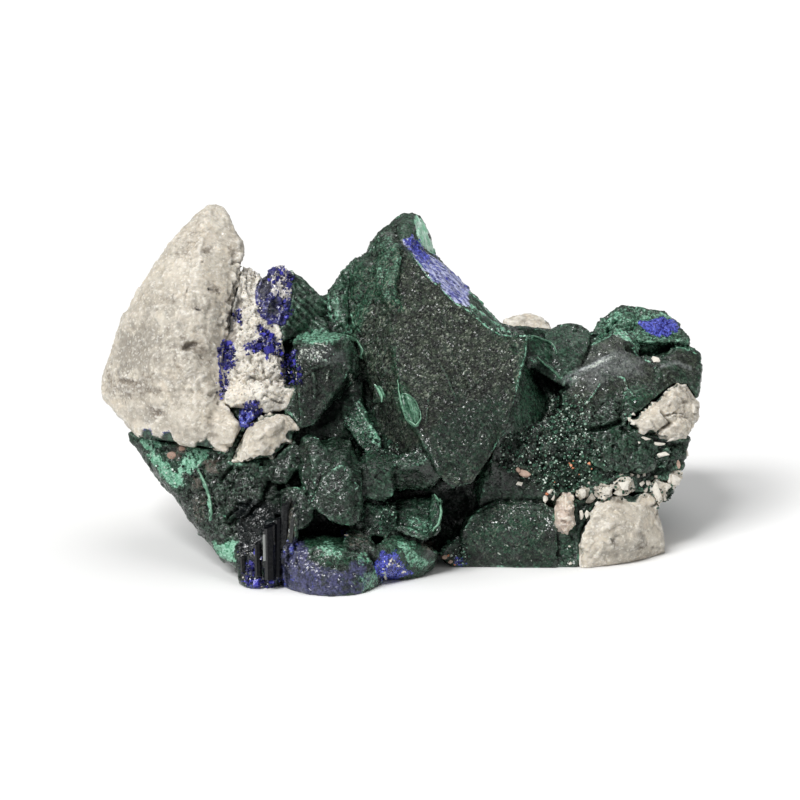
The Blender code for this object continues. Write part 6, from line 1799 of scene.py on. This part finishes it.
def small_things(relief):
    blocks = [(BLOCK, BLOCK_FACES), prism(6, 0.5), prism(4, 0.6)]
    blue = crystal_material("azurite_druse_glass", (5, 4, 32), (76, 74, 190), (0.08, 0.3), 0.6)
    crystals_on(relief, BLUE_PATCHES, 201, (0.14, 0.55), shapes=blocks[:1] + SHARDS[6:14], skew=2.4).piece("azurite_druse", blue, "matrix_granular_left", "azurite")
    bright = crystal_material("azurite_crust_glass", (26, 22, 110), (110, 118, 226), (0.2, 0.6), 0.4)
    crystals_on(relief, [
        ([(376, 560), (383, 553), (396, 553), (402, 562), (413, 572), (404, 577), (394, 583), (386, 584), (378, 574)], 4),
        ([(405, 241), (412, 238), (418, 242), (423, 250), (416, 254)], 8),
    ], 211, (0.06, 0.17), shapes=blocks, lean=0.5, skew=1.0).piece("azurite_crust", bright, "malachite_cluster", "azurite")
    white = crystal_material("matrix_sugar_grain", (158, 150, 138), (242, 238, 228), (0.25, 0.65), 0.45)
    crystals_on(relief, [
        ([(240, 276), (252, 272), (262, 300), (268, 330), (282, 338), (284, 384), (236, 388), (226, 386), (236, 350), (242, 322)], 9),
        ([(226, 386), (262, 382), (296, 392), (286, 404), (250, 404), (228, 402)], 5),
        ([(270, 276), (280, 272), (289, 278), (290, 296), (282, 299), (274, 292)], 11),
        ([(222, 350), (234, 346), (235, 388), (224, 392)], 7),
        ([(284, 356), (299, 354), (300, 382), (286, 381)], 5),
        ([(246, 406), (258, 404), (256, 416), (247, 422)], 5),
        ([(378, 560), (396, 556), (408, 570), (396, 580), (384, 582)], 2.2),
        ([(240, 552), (262, 548), (262, 586), (244, 588)], 1.6),
    ], 221, (0.07, 0.26), flat=0.6, shapes=SHARDS[:10], skew=0.8).piece("matrix_sugar", white, "matrix_granular_left", "matrix")
    druse = crystal_material("malachite_druse_glass", (5, 18, 13), (70, 112, 90), (0.08, 0.4), 0.6)
    crystals_on(relief, [
        (DRUSE_FIELD, 8),
        ([(548, 400), (562, 392), (585, 400), (588, 424), (572, 446), (546, 440)], 8),
        ([(362, 440), (392, 438), (400, 452), (376, 458), (362, 452)], 10),
        ([(357, 432), (368, 426), (378, 440), (372, 452), (360, 446)], 8),
        ([(434, 541), (456, 536), (470, 545), (468, 568), (444, 562)], 8),
        ([(372, 504), (396, 500), (400, 520), (386, 534), (370, 524)], 8),
        ([(590, 470), (640, 474), (668, 484), (680, 476), (684, 462), (676, 500), (660, 512), (650, 494), (600, 500)], 7),
        ([(625, 396), (640, 392), (646, 404), (632, 412)], 6),
        ([(140, 436), (170, 444), (186, 452), (206, 448), (214, 458), (192, 470), (172, 462), (150, 450)], 6),
    ], 231, (0.06, 0.22), shapes=blocks, lean=0.9, skew=2.0).piece("malachite_druse", druse, "malachite_cluster", "malachite")
    light = crystal_material("malachite_pale_grain", (84, 140, 112), (214, 226, 216), (0.15, 0.5), 0.6)
    crystals_on(relief, [
        (DRUSE_FIELD, 2.2),
        (GREEN_BAND, 1.5),
        ([(545, 398), (562, 390), (592, 396), (584, 446), (548, 440)], 4),
        ([(140, 436), (152, 442), (176, 474), (184, 486), (172, 486), (150, 458)], 3),
        ([(182, 458), (206, 444), (212, 452), (196, 470), (182, 474)], 3),
        ([(376, 446), (396, 440), (400, 452), (380, 456)], 5),
        ([(300, 346), (330, 350), (334, 364), (306, 362)], 2),
        ([(440, 545), (466, 548), (466, 566), (446, 562)], 4),
        ([(376, 508), (394, 504), (396, 520), (380, 528)], 3),
    ], 241, (0.05, 0.17), shapes=blocks, lean=0.9, skew=1.0).piece("malachite_pale_druse", light, "malachite_cluster", "malachite")

    curled = Crust(291)
    for path, rise, tone in (
        ([(402, 393, 2.0), (404, 402, 3.6), (407, 411, 4.0), (411, 420, 3.6), (415, 426, 1.6)], 0.6, 0.1),
        ([(406, 396, 2.0), (411, 402, 3.6), (415, 411, 4.2), (417, 420, 3.0), (417, 426, 1.2)], 0.5, 0.3),
        ([(409, 399, 0.8), (412, 407, 1.5), (414, 415, 1.5), (415, 422, 0.9)], 0.9, 0.45),
        ([(397, 380, 0.5), (398, 388, 0.8), (399, 396, 1.0), (401, 406, 1.3), (405, 416, 1.5), (410, 423, 1.5), (416, 427, 1.4), (420, 420, 1.0), (420, 411, 0.8)], 0.8, 0.72),
        ([(420, 412, 0.9), (416, 402, 1.1), (410, 396, 1.1), (403, 394, 0.9), (400, 398, 0.7)], 0.6, 0.5),
        ([(374, 385, 0.9), (378, 390, 1.8), (381, 396, 1.8), (381, 402, 0.9)], 0.5, 0.8),
        ([(376, 387, 0.8), (380, 387, 1.4), (384, 397, 1.2)], 0.4, 0.4),
        ([(436, 496, 0.9), (441, 503, 1.3), (441, 514, 1.4), (438, 524, 1.3), (432, 530, 0.9)], 0.45, 0.7),
        ([(528, 334.5, 0.8), (541, 338, 1.2), (553, 344, 1.2), (557, 354, 0.9)], 0.35, 0.25),
        ([(537, 357, 0.8), (549, 367, 1.2), (561, 379, 0.9)], 0.35, 0.2),
        ([(347, 335, 0.9), (355, 339, 1.3), (362, 349, 1.2), (361, 358, 0.8)], 0.35, 0.6),
        ([(198, 470, 0.9), (205, 483, 1.5), (209, 496, 1.6), (212, 510, 1.3), (211, 520, 0.8)], 0.3, 0.55),
    ):
        swept(curled, relief, path, rise, tone)
    blade = crystal_material("malachite_curled_glass", (14, 60, 40), (140, 190, 160), (0.15, 0.45), 0.6)
    curled.piece("malachite_curled", blade, "malachite_cluster", "malachite", smooth_angle=60)

    bars = Crust(295)
    # The thin bar at 264 across, with the lighter tone, is a painted highlight down a prism's edge; the glass's pale
    # end is there for it.
    for top, foot, half, rise, tone in (
        ((242.6, 557), (243.6, 572), 2.6, 0.25, 0.06), ((257.6, 544), (258.6, 576), 3.2, 0.5, 0.02),
        ((264.4, 535), (264.8, 561), 1.5, 1.0, 0.62), ((269.6, 527), (270.4, 580), 5.4, 0.75, 0.02), ((278.4, 519), (277.8, 577), 2.9, 0.5, 0.0),
        ((285.4, 505), (283.6, 549), 3.9, 0.45, 0.09), ((292.4, 519), (290.4, 543), 1.8, 0.3, 0.2),
    ):
        bar(bars, relief, top, foot, half, rise, tone)
    black = crystal_material("malachite_prism_glass", (3, 4, 8), (196, 200, 196), (0.05, 0.16), 0.5, 0.05)
    bars.piece("malachite_prisms", black, "malachite_cluster", "malachite")

    stone = crystal_material("matrix_fragment", (146, 138, 126), (226, 221, 210), (0.3, 0.7), 0.4)
    fragments_on(relief, (
        (581, 515, 3.0, 5.5, 8, 0.2, 0.9), (586.5, 513, 3.4, 5.2, -14, 0.3, 1.0), (581.5, 492.5, 5.0, 5.5, 20, 0.3, 0.8),
        (590.5, 498, 6.0, 6.5, 0, 0.1, 0.3), (597, 503, 3.5, 3.0, 30, 0.2, 0.7), (606, 491, 7.5, 5.0, 10, 0.4, 0.75),
        (612, 486, 4.0, 3.2, 0, 0.3, 0.5), (625, 485.5, 9.5, 6.5, 5, 0.5, 1.0), (618, 492, 5.5, 3.8, 0, 0.2, 0.6),
        (601, 484.5, 3.0, 2.6, 0, 0.2, 0.3), (596.5, 487.5, 3.0, 3.0, 0, 0.2, 0.4), (641, 483.5, 3.2, 3.6, 0, 0.2, 0.5),
        (647, 482, 3.0, 3.2, 0, 0.2, 0.4), (645, 489, 3.5, 3.5, 0, 0.1, 0.3), (657.5, 491, 5.2, 11.5, 8, 0.4, 0.85),
        (663, 498, 3.2, 7.5, 12, 0.2, 0.6), (674, 478, 8.2, 8.5, 0, 0.4, 1.0), (668, 486, 4.0, 4.5, 20, 0.2, 0.8),
        (655, 476, 2.6, 2.6, 0, 0.2, 0.3), (632, 474, 2.8, 2.4, 0, 0.2, 0.4), (638, 476, 2.4, 2.6, 0, 0.2, 0.4),
        (621, 474.5, 2.4, 2.0, 0, 0.2, 0.5), (644, 475, 2.2, 2.4, 0, 0.2, 0.4), (588, 484, 2.2, 1.8, 0, 0.2, 0.5),
        (655, 358.5, 7.0, 3.4, -18, 0.2, 1.0), (645, 438.5, 6.0, 2.0, -14, 0.35, 0.9), (657, 442.5, 9.0, 2.0, -5, 0.35, 0.9),
        (669, 440.5, 5.0, 2.0, 14, 0.35, 0.9), (662, 453.5, 7.5, 3.2, 8, 0.4, 0.95), (671.5, 450.5, 3.4, 3.0, 20, 0.4, 0.9),
        (637.5, 442.5, 1.8, 1.5, 0, 0.3, 1.0), (629, 419.5, 3.0, 3.4, 0, 0.3, 0.9), (633.5, 424, 3.0, 2.4, 10, 0.3, 0.8),
        (634, 416, 2.6, 2.4, 0, 0.2, 0.8), (521, 483.5, 4.6, 2.8, 0, 0.3, 0.95), (549.5, 490.5, 4.2, 4.0, 12, 0.3, 0.85),
        (545.5, 498.5, 3.2, 4.6, 0, 0.2, 0.9), (552, 497, 2.4, 3.6, 0, 0.2, 0.7), (687, 452, 2.4, 4.0, 0, 0.1, 0.8),
        (694, 412, 4.0, 8.0, 4, 0.2, 0.8), (569, 545, 2.0, 1.4, 0, 0.3, 1.0), (570, 563.5, 2.0, 2.0, 0, 0.3, 1.0),
        (344, 534, 3.0, 1.6, 0, 0.2, 0.2), (404, 572, 2.8, 1.6, 10, 0.2, 0.9), (385, 578, 2.2, 3.4, 10, 0.2, 0.9),
    ), 251).piece("matrix_fragments", stone, "malachite_cluster", "matrix")
    rose = crystal_material("matrix_rose_fragment", (150, 122, 108), (206, 180, 162), (0.35, 0.7), 0.4)
    fragments_on(relief, (
        (523.5, 473.5, 6.4, 4.6, 0, 0.3, 0.6), (517.5, 470.5, 2.6, 2.6, 0, 0.3, 0.4), (678, 463.5, 2.8, 4.5, 0, 0.1, 0.7),
        (445, 557.5, 3.6, 2.2, 20, 0.2, 0.6), (451, 562, 2.6, 2.0, 0, 0.2, 0.8), 
        (172, 455, 5.5, 4.0, 0, 0.1, 0.0), (181, 449.5, 4.2, 2.6, 0, 0.1, 0.0),
    ), 261, shapes=GRAINS).piece("matrix_rose_fragments", rose, "malachite_cluster", "pink_matrix")
    salmon = crystal_material("salmon_grain", (176, 92, 58), (232, 160, 122), (0.3, 0.6), 0.45)
    fragments_on(relief, (
        (571, 465, 2.4, 1.9, 20, 0.25, 0.8), (573.5, 468.5, 1.8, 1.4, 0, 0.25, 0.5), (569.5, 462.5, 1.1, 0.9, 0, 0.25, 0.7),
        (588, 464.5, 2.4, 1.9, 0, 0.25, 0.9), (591, 468, 1.0, 0.9, 0, 0.25, 0.6), (575, 461, 0.9, 0.8, 0, 0.25, 0.6),
        (546, 494.5, 2.6, 1.6, -20, 0.25, 0.4), (554, 481.5, 0.9, 0.8, 0, 0.25, 0.6), (580, 475, 0.8, 0.7, 0, 0.25, 0.6),
        (448, 555.5, 2.2, 1.4, 10, 0.25, 0.7), (454.5, 565, 1.6, 1.1, 0, 0.25, 0.8),
    ), 271).piece("salmon_grains", salmon, "malachite_cluster", "pink_matrix")


stage()
WHITE = matrix_material("matrix_surface", (208, 201, 187), (190, 182, 168), (166, 158, 144), (116, 105, 92))
PINK = matrix_material("matrix_pink_surface", (212, 198, 184), (198, 180, 165), (172, 152, 138), (118, 98, 86))
k = 1.0
surfaces = [malachite()]
surfaces.append(block_left(0.25 * k, WHITE))
SUGAR = matrix_material("matrix_sugar_surface", (230, 225, 214), (218, 212, 201), (196, 189, 177), (112, 100, 88))
surfaces.append(granular_left(0.18 * k, SUGAR))
LOBE = [(250, 425), (258.5, 418.5), (272, 414), (285.5, 413), (292, 420), (298, 427.5), (289, 432), (287, 435), (291.5, 442), (282, 444), (275, 450),
    (274, 459), (266, 457), (260, 454), (252, 459), (245, 460), (236, 463), (231, 463), (239, 444)]
surfaces.append(plain_stone("matrix_lobe_left", 0.18 * k, WHITE, 51, outline=LOBE, shapes=(([(252, 428), (268, 420), (284, 418), (284, 430), (266, 438), (250, 442)], 9, 0.5), ([(240, 450), (256, 444), (270, 444), (266, 456), (246, 462)], 7, 0.35))))
surfaces.append(wedge_right(0.17 * k, WHITE))
surfaces.append(block_right(0.2 * k, WHITE))
surfaces.append(plain_stone("matrix_lump_back", 0.3 * k, WHITE, 81, swell=0.6, chunk=0.8))
surfaces.append(plain_stone("matrix_chunk_pink", 0.13 * k, PINK, 91, "pink_matrix", 0.3, 0.9, 0.22, shapes=(([(556, 512), (570, 508), (573, 524), (566, 532), (556, 528)], 6, 0.5), ([(558, 498), (566, 493), (572, 500), (570, 510), (559, 510)], 5, 0.3))))
for index, word in enumerate(("one", "two", "three", "four", "five")):
    surfaces.append(plain_stone("matrix_chip_" + word, 0.13 * k, WHITE, 101 + index, swell=0.25, chunk=0.9, grit=0.14))
surfaces.append(azurite(0.15 * k))
small_things(Relief(surfaces))
